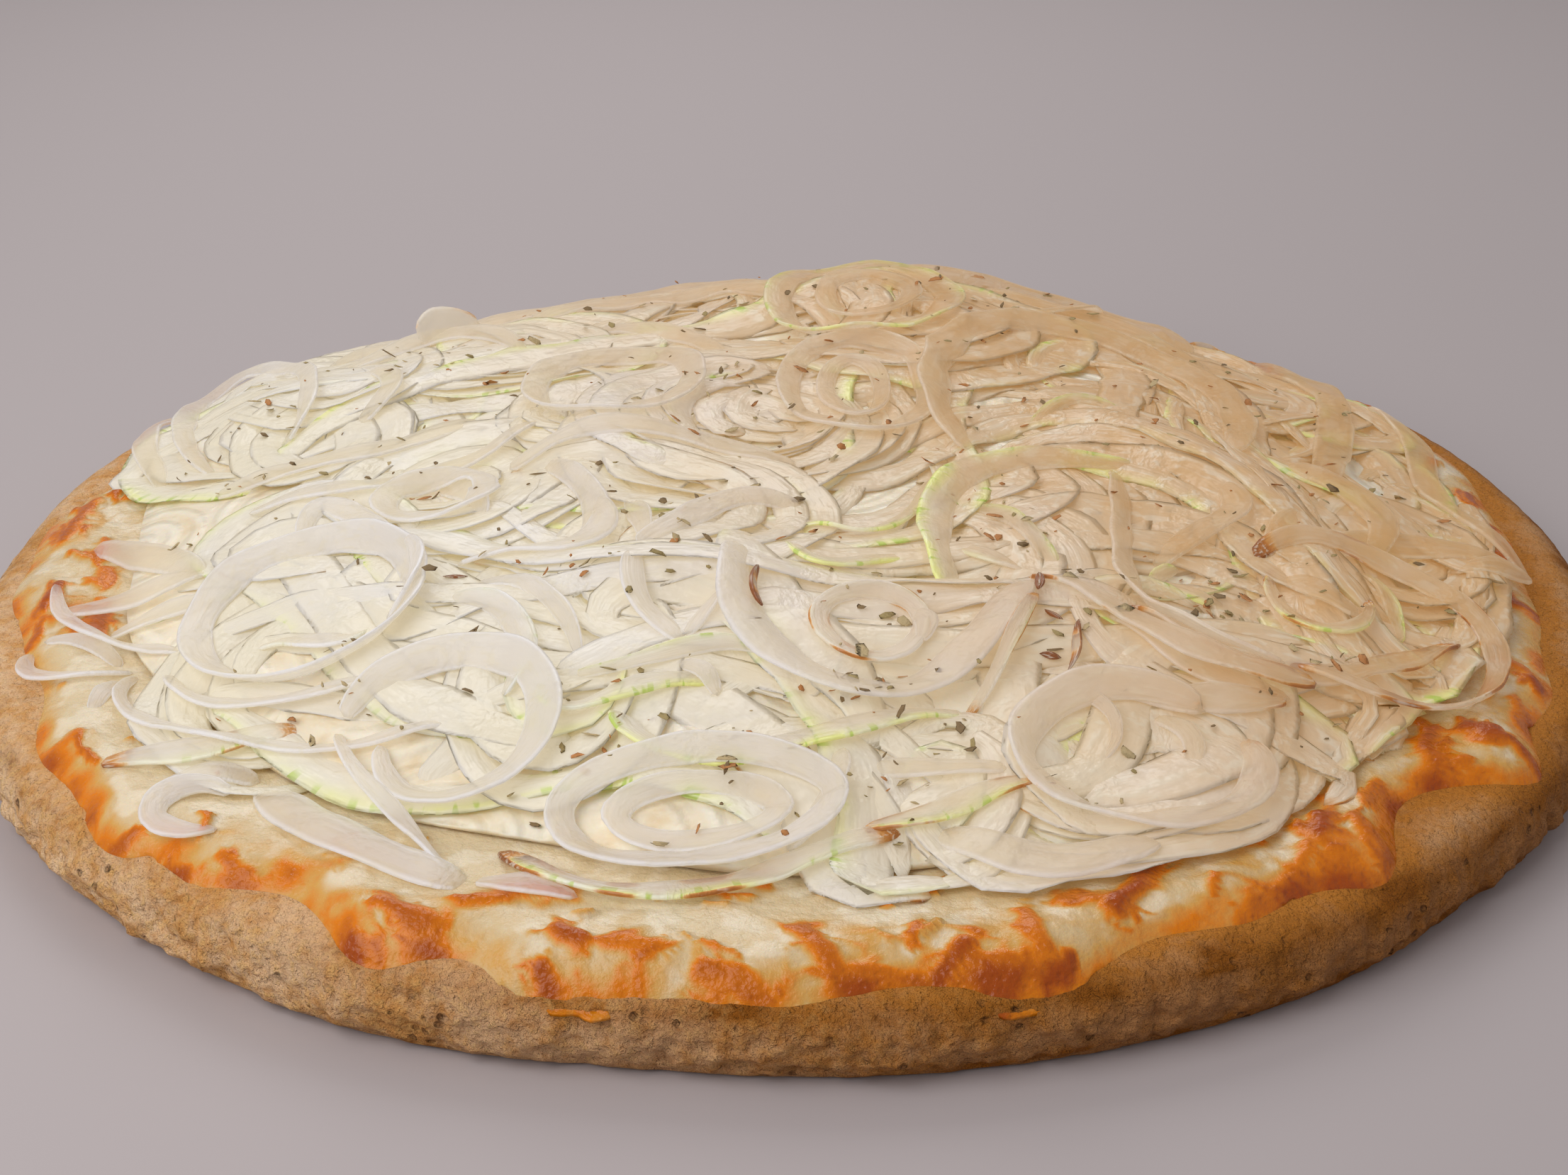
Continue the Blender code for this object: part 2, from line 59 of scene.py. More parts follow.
# %% Camera
CAMERA_ELEVATION = math.radians(26.0)
CAMERA_DISTANCE = 0.497
CAMERA_FIELD = math.radians(36.0)
CAMERA_ROLL = math.radians(-0.3)
AIM = Vector((0, 0, 0.006))


def add_camera():
    """A camera at the photo's place, aimed a little above the underside's centre."""
    camera = bpy.data.objects.new("camera", bpy.data.cameras.new("camera"))
    camera.data.angle = CAMERA_FIELD
    camera.data.clip_start = 0.01
    back = Vector((0, -math.cos(CAMERA_ELEVATION), math.sin(CAMERA_ELEVATION)))
    tilt = Matrix.Rotation(math.radians(90) - CAMERA_ELEVATION, 4, "X")
    roll = Matrix.Rotation(CAMERA_ROLL, 4, "Z")
    camera.matrix_world = Matrix.Translation(AIM + back * CAMERA_DISTANCE) @ tilt @ roll
    scene.collection.objects.link(camera)
    return camera


scene.camera = add_camera()
print("lens, mm:", round(scene.camera.data.lens, 1))

# %% [markdown]
# ## Light and floor
#
# The main light is large and soft, high on the left and a little in front, so the left of the heap
# is nearly white. A second one from behind lights the far edge and gives the wet slices their
# shine, and a faint one on the right lifts the shade. The floor is plain.

# %% Studio
FLOOR_TINT = (0.45, 0.40, 0.405)
FLOOR_REACH = 3.0
FLOOR_ROUGHNESS = 0.7
SKY_TINT = (0.82, 0.79, 0.78)
SKY_STRENGTH = 0.50
# Each lamp: its place, what it looks at, its width and its power in watts
LAMPS = {
    "key": ((-0.40, -0.38, 0.50), (-0.03, -0.03, 0.02), 0.60, 3.0),
    "back": ((-0.10, 0.60, 0.62), (0.0, 0.02, 0.02), 0.50, 2.0),
    "fill": ((0.75, -0.35, 0.60), (0.02, 0.0, 0.02), 0.80, 0.25),
}


def add_lamp(name, place, aim, width, power):
    """A square soft lamp that faces the point it is aimed at."""
    lamp = bpy.data.objects.new(name, bpy.data.lights.new(name, "AREA"))
    lamp.data.size = width
    lamp.data.energy = power
    lamp.location = place
    lamp.rotation_euler = (Vector(aim) - Vector(place)).to_track_quat("-Z", "Y").to_euler()
    scene.collection.objects.link(lamp)


def add_floor():
    bm = bmesh.new()
    bmesh.ops.create_grid(bm, x_segments=1, y_segments=1, size=FLOOR_REACH)
    mesh = bpy.data.meshes.new("floor")
    bm.to_mesh(mesh)
    bm.free()
    floor = bpy.data.objects.new("floor", mesh)
    scene.collection.objects.link(floor)
    paint = bpy.data.materials.new("pale floor")
    paint.use_nodes = True
    surface = paint.node_tree.nodes["Principled BSDF"]
    surface.inputs["Base Color"].default_value = (*FLOOR_TINT, 1)
    surface.inputs["Roughness"].default_value = FLOOR_ROUGHNESS
    mesh.materials.append(paint)


for name, (place, aim, width, power) in LAMPS.items():
    add_lamp(name, place, aim, width, power)
add_floor()
world = bpy.data.worlds.new("soft daylight")
world.use_nodes = True
world.node_tree.nodes["Background"].inputs["Color"].default_value = (*SKY_TINT, 1)
world.node_tree.nodes["Background"].inputs["Strength"].default_value = SKY_STRENGTH
scene.world = world
scene.view_settings.view_transform = "Standard"
print("lamps:", ", ".join(LAMPS))

# %% [markdown]
# ## A way to write materials
#
# A material is a small graph of nodes, and its sums are easier to read as sums. A Wire wraps one
# output socket, and arithmetic on it adds the Math nodes. A Finish is a material being made: its
# node method adds any other node, with its settings first and then its inputs.

# %% Wires and finishes


class Wire:
    """One output socket of a node. Arithmetic on it adds a Math node."""

    def __init__(self, finish, socket):
        self.finish = finish
        self.socket = socket

    def math(self, operation, *others):
        return self.finish.node("ShaderNodeMath", {"operation": operation}, [self, *others])

    def __add__(self, other):
        return self.math("ADD", other)

    def __mul__(self, other):
        return self.math("MULTIPLY", other)

    def __sub__(self, other):
        return self.math("SUBTRACT", other)

    def __rsub__(self, other):
        return self.finish.node("ShaderNodeMath", {"operation": "SUBTRACT"}, [other, self])

    __radd__ = __add__
    __rmul__ = __mul__

    def between(self, low, high):
        """0 at low, 1 at high and smooth in between."""
        settings = {"interpolation_type": "SMOOTHSTEP"}
        return self.finish.node("ShaderNodeMapRange", settings, {0: self, 1: low, 2: high})


class Finish:
    """A material being made, around its Principled BSDF."""

    def __init__(self, name, **constants):
        self.material = bpy.data.materials.new(name)
        self.material.use_nodes = True
        self.tree = self.material.node_tree
        self.surface = self.tree.nodes["Principled BSDF"]
        for socket, value in constants.items():
            self.surface.inputs[socket.replace("_", " ")].default_value = value

    def node(self, kind, settings=None, inputs=None, output=0):
        """Adds a node, sets it up, fills its inputs and returns one of its outputs."""
        added = self.tree.nodes.new(kind)
        for name, value in (settings or {}).items():
            if name == "stops":
                self.set_stops(added.color_ramp, value)
            else:
                setattr(added, name, value)
        if isinstance(inputs, list):
            inputs = dict(enumerate(inputs))
        for name, value in (inputs or {}).items():
            self.join(value, added.inputs[name])
        return Wire(self, added.outputs[output])

    def join(self, value, socket):
        if isinstance(value, Wire):
            self.tree.links.new(value.socket, socket)
        else:
            socket.default_value = value

    def set_stops(self, ramp, stops):
        while len(ramp.elements) < len(stops):
            ramp.elements.new(0.5)
        for element, (position, colour) in zip(ramp.elements, stops):
            element.position = position
            element.color = (*colour, 1)

    def place(self):
        return self.node("ShaderNodeTexCoord", output="Object")

    def towards(self, x, y, low, high):
        """Goes from 0 to 1 across the bread, along the direction given."""
        inputs = [self.place(), (x, y, 0)]
        added = self.node("ShaderNodeVectorMath", {"operation": "DOT_PRODUCT"}, inputs, output=1)
        return added.between(low, high)

    def attribute(self, name):
        return self.node("ShaderNodeAttribute", {"attribute_name": name}, output="Fac")

    def noise(self, size, detail=3.0, roughness=0.5, at=None, stretch=None):
        """Noise from 0 to 1 with features of about the given size in metres."""
        at = at or self.place()
        if stretch:
            at = self.node("ShaderNodeMapping", inputs={"Vector": at, "Scale": stretch})
        inputs = {"Vector": at, "Scale": 1 / size, "Detail": detail, "Roughness": roughness}
        return self.node("ShaderNodeTexNoise", inputs=inputs)

    def pits(self, size, at=None):
        """Distance to the nearest of many scattered points, from 0 to about 1."""
        inputs = {"Vector": at or self.place(), "Scale": 1 / size, "Randomness": 1.0}
        return self.node("ShaderNodeTexVoronoi", {"feature": "F1"}, inputs)

    def ramp(self, amount, *stops):
        return self.node("ShaderNodeValToRGB", {"stops": stops}, {0: amount})

    def mix(self, amount, first, second):
        """Goes from the first colour to the second as amount goes from 0 to 1."""
        first, second = (c if isinstance(c, Wire) else (*c, 1) for c in (first, second))
        inputs = {0: amount, 6: first, 7: second}
        return self.node("ShaderNodeMix", {"data_type": "RGBA"}, inputs, output=2)

    def bump(self, height, depth, normal=None):
        """A surface that rises by depth in metres as height goes from 0 to 1."""
        inputs = {"Height": height, "Distance": depth, "Strength": 1.0}
        if normal:
            inputs["Normal"] = normal
        return self.node("ShaderNodeBump", inputs=inputs)

    def shows(self, **inputs):
        """Feeds the Principled BSDF and returns the finished material."""
        for name, value in inputs.items():
            self.join(value, self.surface.inputs[name.replace("_", " ")])
        return self.material

    def lets_through(self, share, colour):
        """Lets a share of the light through, diffused and tinted, as thin wet flesh does."""
        through = self.node("ShaderNodeBsdfTranslucent", inputs={"Color": (*colour, 1)})
        whole = Wire(self, self.surface.outputs["BSDF"])
        mixed = self.node("ShaderNodeMixShader", inputs=[share, whole, through])
        self.join(mixed, self.tree.nodes["Material Output"].inputs["Surface"])


print("materials are ready to be written")

# %% [markdown]
# ## Shapes that close round the bread
#
# A hand-shaped round is never a circle. Its outline, and that of the cheese, is a radius that
# changes with the bearing round the centre, as a few waves with seeded phases. The sizes are the
# same as in the solid model, so what is made here fills the same space.

# %% Outlines and heights, in millimetres
BREAD_RADIUS = 159.3
BREAD_TOP = 14.5
RIM_SWELL = 1.0
RIM_SWELL_INSET = 10.0
SHOULDER_WIDTH = 6.5
SHOULDER_DROP = 2.9


def waviness(bearing, seed, waves):
    """A wave that closes round the bread: (waves in a turn, height) cosines with seeded phases."""
    phases = np.random.default_rng(seed).uniform(0, TURN, len(waves))
    return sum(h * np.cos(n * bearing + phase) for (n, h), phase in zip(waves, phases))


def noise_at(x, y, z, size):
    """Smooth noise from -1 to 1 with features of the given size."""
    places = zip(np.ravel(x) / size, np.ravel(y) / size, np.ravel(z) / size)
    return np.array([noise.noise(Vector(p)) for p in places]).reshape(np.shape(x))


def bread_outline(bearing):
    return BREAD_RADIUS + waviness(bearing, 3, ((2, 0.5), (3, 0.7), (5, 0.6), (8, 0.5), (13, 0.4)))


def bread_top(x, y):
    """Height of the bread's top, which swells a little inside a rounded shoulder."""
    inset = bread_outline(np.arctan2(y, x)) - np.hypot(x, y)
    swell = RIM_SWELL * np.exp(-(((inset - RIM_SWELL_INSET) / RIM_SWELL_INSET) ** 2))
    shoulder = np.clip(1 - inset / SHOULDER_WIDTH, 0, 1) ** 2
    return BREAD_TOP + swell - SHOULDER_DROP * shoulder


print("bread outline, mm:", np.round(bread_outline(np.radians([0, 90, 180, 270])), 1))

# %% [markdown]
# ## Turning a profile
#
# Bread, cheese and the inside of the heap are all round, so each starts as a profile that bmesh
# spins about the upright axis. The spin gives a clean mesh of rings, and one formula then moves
# its points to the outline and height that they should have.

# %% Turned pieces


def add_piece(name, bm, material, slot, *nodes):
    """Adds a piece from a bmesh in metres. It rides on the part and stands for the nodes."""
    mesh = bpy.data.meshes.new(name)
    bm.to_mesh(mesh)
    bm.free()
    mesh.shade_smooth()
    mesh.materials.append(material)
    piece = bpy.data.objects.new(name, mesh)
    scene.collection.objects.link(piece)
    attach(piece, "root")
    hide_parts(*nodes)
    mesh.calc_loop_triangles()
    print(name, len(mesh.loop_triangles), "triangles")


def turned(profile, steps, reshape):
    """A closed profile of (radius, height) in mm, spun about Z, whose points reshape then moves."""
    bm = bmesh.new()
    verts = [bm.verts.new((r * MM, 0, z * MM)) for r, z in profile]
    edges = [bm.edges.new(pair) for pair in zip(verts, verts[1:])]
    spin = {"cent": (0, 0, 0), "axis": (0, 0, 1), "dvec": (0, 0, 0), "angle": TURN}
    bmesh.ops.spin(bm, geom=verts + edges, steps=steps, use_merge=True, use_duplicate=False, **spin)
    bmesh.ops.remove_doubles(bm, verts=bm.verts, dist=0.01 * MM)
    bmesh.ops.recalc_face_normals(bm, faces=bm.faces)
    x, y, z = np.array([v.co for v in bm.verts]).T / MM
    for vert, place in zip(bm.verts, np.stack(reshape(x, y, z), axis=-1) * MM):
        vert.co = place
    return bm


def write_attribute(bm, name, values):
    """Keeps one number for each point of the mesh, for the material to read."""
    layer = bm.verts.layers.float.new(name)
    for vert, value in zip(bm.verts, values):
        vert[layer] = value


def places_of(bm):
    return np.array([v.co for v in bm.verts]).T / MM


# %% [markdown]
# ## The bread
#
# The side of the crust is coarse, like rubbed crumb: lumps of a centimetre, of a few millimetres,
# and pores under a millimetre. The first two are shape and are moved in the mesh. The pores are far
# too many for that, so the material raises them as bump.

# %% Bread shape
SIDE_PROFILE = ((-0.9, 9.0), (-0.8, 5.6), (0.6, 2.6), (1.9, 0.7), (3.6, 0.0))
RIM_ROW = (-0.45, 10.3)
FOOT_ROW = (12.0, 0.0)
TOP_FROM = 10.8
CRAG_DEPTH = 1.2
CRAG_SIZE = 9.0
BREAD_STEPS = 1080
SIDE_ROWS = 24


def bread_profile():
    """Distance in from the outline and height, from the top's middle to the floor."""
    steps_in = np.concatenate([[90, 50, 36], np.arange(28, -0.1, -1.2)])
    on_top = [(inset, BREAD_TOP) for inset in steps_in]
    insets, heights = zip(*SIDE_PROFILE)
    side = np.linspace(0, len(SIDE_PROFILE) - 1, SIDE_ROWS)
    numbers = np.arange(len(SIDE_PROFILE))
    along_side = zip(np.interp(side, numbers, insets), np.interp(side, numbers, heights))
    profile = on_top + [RIM_ROW] + list(along_side) + [FOOT_ROW]
    return [(0.0, BREAD_TOP)] + [(BREAD_RADIUS - inset, z) for inset, z in profile] + [(0.0, 0.0)]


def shape_bread(x, y, z):
    bearing = np.arctan2(y, x)
    radius = np.hypot(x, y)
    inset = BREAD_RADIUS - radius
    on_top = z > TOP_FROM
    crags = CRAG_DEPTH * noise_at(x, y, z * 1.6, CRAG_SIZE)
    crags = crags + 0.5 * CRAG_DEPTH * noise_at(x + 50, y, z * 1.6, CRAG_SIZE / 2)
    fine = 0.5 * noise_at(x, y, z, 2.6) + 0.3 * noise_at(x, y, z + 90, 1.3)
    dents = 2.2 * np.clip(noise_at(x, y, z + 50, 3.2) - 0.22, 0, 1)
    rim = np.clip(1 - inset / 7, 0, 1)
    side = np.where(on_top, 0.0, np.clip(z / 2.5, 0, 1))
    out = bread_outline(bearing) - inset + side * (crags + 1.6 * fine - dents)
    moved = np.where(radius > 1, out / np.maximum(radius, 1), 0)
    x, y = x * moved, y * moved
    raised = bread_top(x, y) + rim * (0.3 * fine + 0.25 * crags)
    return x, y, np.where(on_top, raised, z)


bread_bm = turned(bread_profile(), BREAD_STEPS, shape_bread)
print("bread,", len(bread_bm.verts), "points")

# %% [markdown]
# The crust is pale on the left and turns golden, then brown, towards the right and the front: partly
# real toasting, partly painted shade. It is darker at the foot and browns in streaks along the
# shoulder, and its pores are painted dark, as shade. The patches are noise at the size of the real
# ones, so nothing repeats.

# %% Bread finish
CRUST_PALE = (0.88, 0.60, 0.36)
CRUST_GOLD = (0.72, 0.36, 0.12)
CRUST_GILT = (0.62, 0.24, 0.035)
CRUST_TOAST_AND_SHADE = (0.27, 0.085, 0.005)
CRUST_CRUMB = (0.78, 0.46, 0.16)
PORE_PAINTED_SHADE = (0.18, 0.08, 0.03)


def bread_finish():
    crust = Finish(
        "baked crust",
        Subsurface_Weight=0.08,
        Subsurface_Scale=0.0015,
        Subsurface_Radius=(1.0, 0.5, 0.25),
        Specular_IOR_Level=0.15,
    )
    patches = crust.noise(0.020, detail=4)
    mottle = crust.noise(0.0035, detail=5, roughness=0.65)
    colour = crust.mix((patches * 0.6 + mottle * 0.6).between(0.48, 0.72), CRUST_PALE, CRUST_GOLD)
    height = crust.node("ShaderNodeSeparateXYZ", inputs=[crust.place()], output=2)
    foot = 1 - height.between(0.0005, 0.006)
    shoulder = height.between(0.0105, 0.0135) * (1 - height.between(0.0143, 0.0158))
    streaks = crust.noise(0.012, detail=4, stretch=(1, 1, 2.5)).between(0.48, 0.70)
    # Towards the right and the front the crust gets browner and darker in its toast, gilt and crumb:
    # partly real toasting, partly painted shade.
    browning_and_shade_right_front = crust.towards(1, -0.5, -0.06, 0.16)
    side = 1 - height.between(0.012, 0.0155)
    toast_and_shade = (foot * 0.5 + shoulder * 0.6) * (streaks + 0.2) + patches.between(0.60, 0.80) * 0.35
    toast_and_shade = toast_and_shade + browning_and_shade_right_front * (0.26 + side * 0.52)
    gilt = crust.attribute("gilt") * (patches * 0.8 + mottle * 0.8 - 0.1)
    gilt = gilt * (0.35 + browning_and_shade_right_front * 0.65) + browning_and_shade_right_front * 0.4
    colour = crust.mix(gilt, colour, CRUST_GILT)
    colour = crust.mix(toast_and_shade, colour, CRUST_TOAST_AND_SHADE)
    pores = 1 - crust.pits(0.0032).between(0.08, 0.28)
    open_crumb = crust.noise(0.010, detail=2).between(0.46, 0.60)
    below = 1 - height.between(0.0115, 0.0145)
    pores = pores * open_crumb * below
    crumb = crust.noise(0.0017, detail=4, roughness=0.65)
    light_crumb = crumb.between(0.46, 0.66) * (0.32 + side * 0.30) * (1 - browning_and_shade_right_front)
    dark_crumb = (1 - crumb.between(0.34, 0.48)) * (0.12 + side * 0.16)
    colour = crust.mix(light_crumb, colour, CRUST_CRUMB)
    colour = crust.mix(dark_crumb, colour, CRUST_TOAST_AND_SHADE)
    # The pores are painted dark: painted shade in the holes of the crumb.
    colour = crust.mix(pores * 0.6, colour, PORE_PAINTED_SHADE)
    grain = crust.noise(0.0009, detail=4, roughness=0.7)
    normal = crust.bump(grain, 0.0005)
    normal = crust.bump(crumb * (0.65 + side * 0.35), 0.0016, normal)
    normal = crust.bump(mottle, 0.0014, normal)
    normal = crust.bump(1 - pores, 0.0012, normal)
    return crust.shows(Base_Color=colour, Roughness=0.55 + mottle * 0.3, Normal=normal)


# %% [markdown]
# ## The cheese
#
# The cheese melted into one glossy layer that ran out in lobes. Where it was thin or stood up, it
# browned: in spots, in short folds and in strands. Each of those is a stroke from one point to
# another with a width and a depth of colour, read from the photo along the front, and drawn at
# random round the sides and back, which it doesn't show closely.

# %% Cheese sizes, in millimetres
CHEESE_RADIUS = 149.5
CHEESE_THICKNESS = 2.7
RAGGED = ((6.0, 2.0), (2.6, 0.9))
LAYER_GAP = 0.8
CHEESE_SINK = 0.6
RELIEF_INNER = 122.0
RELIEF_OUTER = 136.0
# Where the cheese ran further out, or less far: bearing, half width and reach
CHEESE_LOBES = (
    (-146, 7, 6.0), (-134, 5, 8.0), (-127, 4, 6.5), (-114, 5, 8.5), (-104, 4, 8.0),
    (-90, 8, 6.5), (-76, 7, 8.5), (-63, 6, 5.0), (-53, 4, 7.5), (-45, 4, -1.5), (-36, 4, 9.0),
    (-27, 5, 3.5), (-12, 6, -3.0), (17, 5, 4.0), (28, 4, 5.5), (37, 4, 6.5), (43, 4, 6.0),
    (62, 6, -3.0), (84, 7, 4.0), (104, 5, -2.0), (116, 4, 6.0), (137, 6, 3.0), (159, 5, 5.5),
    (178, 6, 2.5), (-170, 5, 4.5),
)


class Stroke(NamedTuple):
    """A browned place: from one point to another, its half width, its brownness and its rise."""

    x0: float
    y0: float
    x1: float
    y1: float
    reach: float
    brown: float
    rise: float = 1.0


# Spots, folds and strands read from the photo, mostly along the front
BROWNED = tuple(
    Stroke(*numbers)
    for numbers in (
        (-123, -83, -128, -88, 3.0, 0.65), (-128, -88, -126, -96, 3.2, 0.95),
        (-123, -84, -117, -91, 1.4, 0.8), (-119, -98, -117, -108, 2.6, 0.7),
        (-117, -108, -112, -114, 2.8, 0.9), (-112, -114, -105, -113, 3.0, 0.85),
        (-99, -121, -96, -123, 4.4, 1.0, 1.6), (-89, -121, -84, -125, 2.8, 0.75),
        (-82, -126, -78, -131, 2.2, 0.5), (-67, -141, -65, -144, 4.2, 1.0, 1.5),
        (-62, -136, -54, -141, 3.6, 0.85, 1.4), (-50, -136, -43, -134, 3.0, 0.6, 1.3),
        (-42, -132, -35, -134, 3.4, 0.75, 1.4), (-34, -144, -31, -146, 4.0, 0.95, 1.4),
        (-37, -150, -34, -152, 3.4, 0.95), (-27, -146, -20, -148, 3.8, 0.7),
        (-12, -151, -3, -155, 3.6, 0.8), (2, -144, 8, -152, 4.2, 0.8),
        (8, -152, 22, -153, 3.6, 0.75), (19, -144, 19, -147, 2.0, 0.8),
        (22, -153, 27, -147, 3.6, 1.0, 1.3), (27, -150, 40, -151, 3.6, 0.8),
        (36, -139, 38, -148, 3.2, 0.7), (39, -152, 42, -148, 3.0, 1.0),
        (42, -135, 48, -136, 2.8, 0.7), (50, -138, 56, -129, 4.0, 1.0, 1.5),
        (56, -129, 61, -119, 3.2, 1.0, 1.4), (65, -117, 68, -121, 2.6, 0.7),
        (72, -114, 74, -118, 2.8, 0.85), (79, -104, 81, -109, 2.6, 0.8),
        (86, -104, 88, -106, 1.8, 0.75), (67, -130, 66, -133, 2.2, 0.6),
        (83, -121, 80, -129, 3.0, 0.65), (80, -129, 70, -137, 3.4, 0.75),
        (87, -113, 86, -118, 4.0, 1.0, 1.5), (92, -112, 96, -120, 3.0, 0.75),
        (96, -120, 96, -127, 2.8, 0.85), (98, -101, 95, -107, 2.8, 0.75),
        (95, -107, 104, -107, 2.6, 0.7), (104, -104, 109, -101, 4.0, 1.0, 1.6),
        (108, -77, 112, -82, 3.0, 0.8), (112, -82, 109, -90, 3.4, 0.95, 1.4),
        (109, -90, 111, -97, 3.0, 0.85), (117, -84, 122, -86, 3.6, 1.0, 1.6),
        (122, -86, 130, -92, 2.8, 0.95, 1.6), (115, -93, 111, -97, 2.4, 0.7),
        (131, -57, 134, -62, 3.0, 0.65), (134, -64, 136, -66, 3.2, 1.0, 1.4),
        (129, -72, 130, -80, 2.8, 0.6), (140, -52, 138, -57, 2.6, 0.7),
        (-141, -24, -142, -33, 2.8, 0.95), (-141, -38, -142, -45, 2.6, 0.85),
        (-139, -58, -138, -64, 2.6, 0.9), (-146, -2, -145, 14, 3.0, 0.85),
        (-139, 50, -137, 58, 4.6, 1.0, 1.8), (142, 62, 147, 46, 3.0, 1.0, 1.5),
        (134, 74, 139, 67, 3.6, 1.0, 1.6), (124, 91, 128, 86, 3.0, 0.8),
        (111, 106, 116, 100, 3.2, 0.95, 1.4), (24, 148, 31, 147, 3.6, 0.85),
        (-70, 136, -65, 139, 3.8, 1.0, 1.5),
    )
)
# Broad golden places: x, y, radius and depth of colour
GOLDEN = (
    (-70, -122, 11, 0.34), (-92, -116, 9, 0.34), (-80, -128, 9, 0.34), (-58, -140, 11, 0.40),
    (-30, -150, 13, 0.36), (10, -153, 14, 0.42), (34, -149, 13, 0.46), (64, -124, 9, 0.30),
    (78, -133, 12, 0.42), (90, -122, 11, 0.44), (88, -108, 9, 0.36), (102, -106, 9, 0.38),
    (114, -90, 10, 0.40), (128, -76, 11, 0.30), (-118, -106, 10, 0.34), (-126, -90, 9, 0.36),
    (-140, -30, 12, 0.46), (-142, 5, 14, 0.44), (-136, 52, 12, 0.40), (136, 70, 14, 0.34),
)
print(len(BROWNED), "browned strokes")

# %% [markdown]
# The strokes at the sides and back are drawn at random. Each point of the cheese then asks which
# stroke is the strongest there. Fine strands run between the strokes, like the skin between
# bubbles. They come from noise: where it crosses zero there is a line, and the lines form a net.

# %% Browned strokes
STROKE_WIDTH = 0.72
RANDOM_STROKES = 150
STROKES_SEED = 5


def random_strokes(count):
    """Browned places all round, mostly at the sides and back, which the photo shows edge on."""
    rng = np.random.default_rng(STROKES_SEED)
    strokes = []
    while len(strokes) < count:
        bearing = rng.uniform(-math.pi, math.pi)
        radius = rng.uniform(134, 152)
        if math.radians(-152) < bearing < math.radians(-20):
            radius, most = radius - 3, 0.75
            reach, length = rng.uniform(0.8, 1.9), rng.uniform(0, 7)
        else:
            most = 1.0
            reach, length = rng.uniform(1.8, 4), rng.uniform(0, 8)
        x, y = radius * math.cos(bearing), radius * math.sin(bearing)
        along = bearing + math.pi / 2 + rng.normal(0, 0.7)
        end = (x + length * math.cos(along), y + length * math.sin(along))
        strokes.append(Stroke(x, y, *end, reach, rng.uniform(0.4, most), rng.uniform(0.8, 1.4)))
    return strokes


ALL_BROWNED = BROWNED + tuple(random_strokes(RANDOM_STROKES))


def stroked(x, y):
    """The strongest of the strokes at each point, as its rise, its brownness and how near it is."""
    rise, brown, near = np.zeros((3, *x.shape))
    for s in ALL_BROWNED:
        along = np.array([s.x1 - s.x0, s.y1 - s.y0])
        length = max(np.hypot(*along), 0.01)
        part = np.clip(((x - s.x0) * along[0] + (y - s.y0) * along[1]) / length**2, 0, 1)
        away = np.hypot(x - s.x0 - part * along[0], y - s.y0 - part * along[1])
        away = away / (STROKE_WIDTH * s.reach)
        rise = np.maximum(rise, s.rise * np.clip(1 - 1.2 * away**2, 0, 1) ** 0.6)
        brown = np.maximum(brown, s.brown * np.exp(-1.6 * away**3))
        near = np.maximum(near, s.brown * np.exp(-0.32 * away**2))
    return rise, brown, near


def web(x, y):
    """A net of strands like the ones between bubbles of cheese, 1 on a strand and 0 off it."""
    still = np.zeros_like(x)
    bent_x = x + 2.0 * noise_at(x, y, still + 9, 6.0)
    bent_y = y + 2.0 * noise_at(y, x, still + 3, 6.0)
    coarse = np.clip(1 - 5.0 * np.abs(noise_at(bent_x, bent_y, still + 33, 11.0)), 0, 1)
    fine = np.clip(1 - 5.5 * np.abs(noise_at(bent_x, bent_y, still + 55, 6.0)), 0, 1)
    return np.maximum(coarse, 0.8 * fine)


print(len(ALL_BROWNED), "strokes with the random ones")

# %% [markdown]
# The outline is the bread's, with lobes. The top is smooth under the onion, where it isn't seen,
# and gets its lumps, folds and strands only at the margin. How brown each point is depends on the
# same strokes, so the colour lies on the relief that it belongs to.

# %% Cheese shape


def bumps(x, y, places):
    """The summed height of round bumps, each given as x, y, radius and height."""
    return sum(h * np.exp(-((x - px) ** 2 + (y - py) ** 2) / r**2) for px, py, r, h in places)


def cheese_outline(bearing):
    reach = waviness(bearing, 11, ((4, 0.8), (9, 0.9), (17, 0.8), (29, 0.6)))
    for middle, half_width, extra in CHEESE_LOBES:
        off = (bearing - math.radians(middle) + math.pi) % TURN - math.pi
        reach = reach + extra * np.exp(-((off / math.radians(half_width)) ** 2))
    return np.minimum(CHEESE_RADIUS + reach, bread_outline(bearing) - 0.6)


def warped(x, y):
    """The points moved by a little noise, so that a stroke's edge comes out ragged."""
    still = np.zeros_like(x)
    coarse = noise_at(x, y, still, 5.0), noise_at(x, y, still + 40, 5.0)
    fine = noise_at(x, y, still + 80, 2.2), noise_at(x, y, still + 120, 2.2)
    return x + 1.5 * coarse[0] + 0.6 * fine[0], y + 1.5 * coarse[1] + 0.6 * fine[1]


def cheese_top(x, y):
    """Height of the cheese: smooth under the onion, lumpy round the edge and thin at its lip."""
    radius = np.hypot(x, y)
    edge = np.clip(radius / cheese_outline(np.arctan2(y, x)), 0, 1)
    lip = 1 - np.clip((edge - 0.93) / 0.07, 0, 1) ** 2
    bare = np.clip((radius - RELIEF_INNER) / (RELIEF_OUTER - RELIEF_INNER), 0, 1)
    still = np.zeros_like(x)
    lumps = 0.9 * noise_at(x, y, still, 9.0) + 0.35 * noise_at(x, y, still + 20, 3.2)
    folds, _, near = stroked(*warped(x, y))
    strands = 0.6 * web(x, y) * np.clip(2.4 * near - 0.4, 0, 1)
    thick = (LAYER_GAP + CHEESE_THICKNESS) * lip - CHEESE_SINK * (1 - lip)
    return bread_top(x, y) + thick + bare * lip * (0.6 * lumps + np.maximum(0.9 * folds, strands))


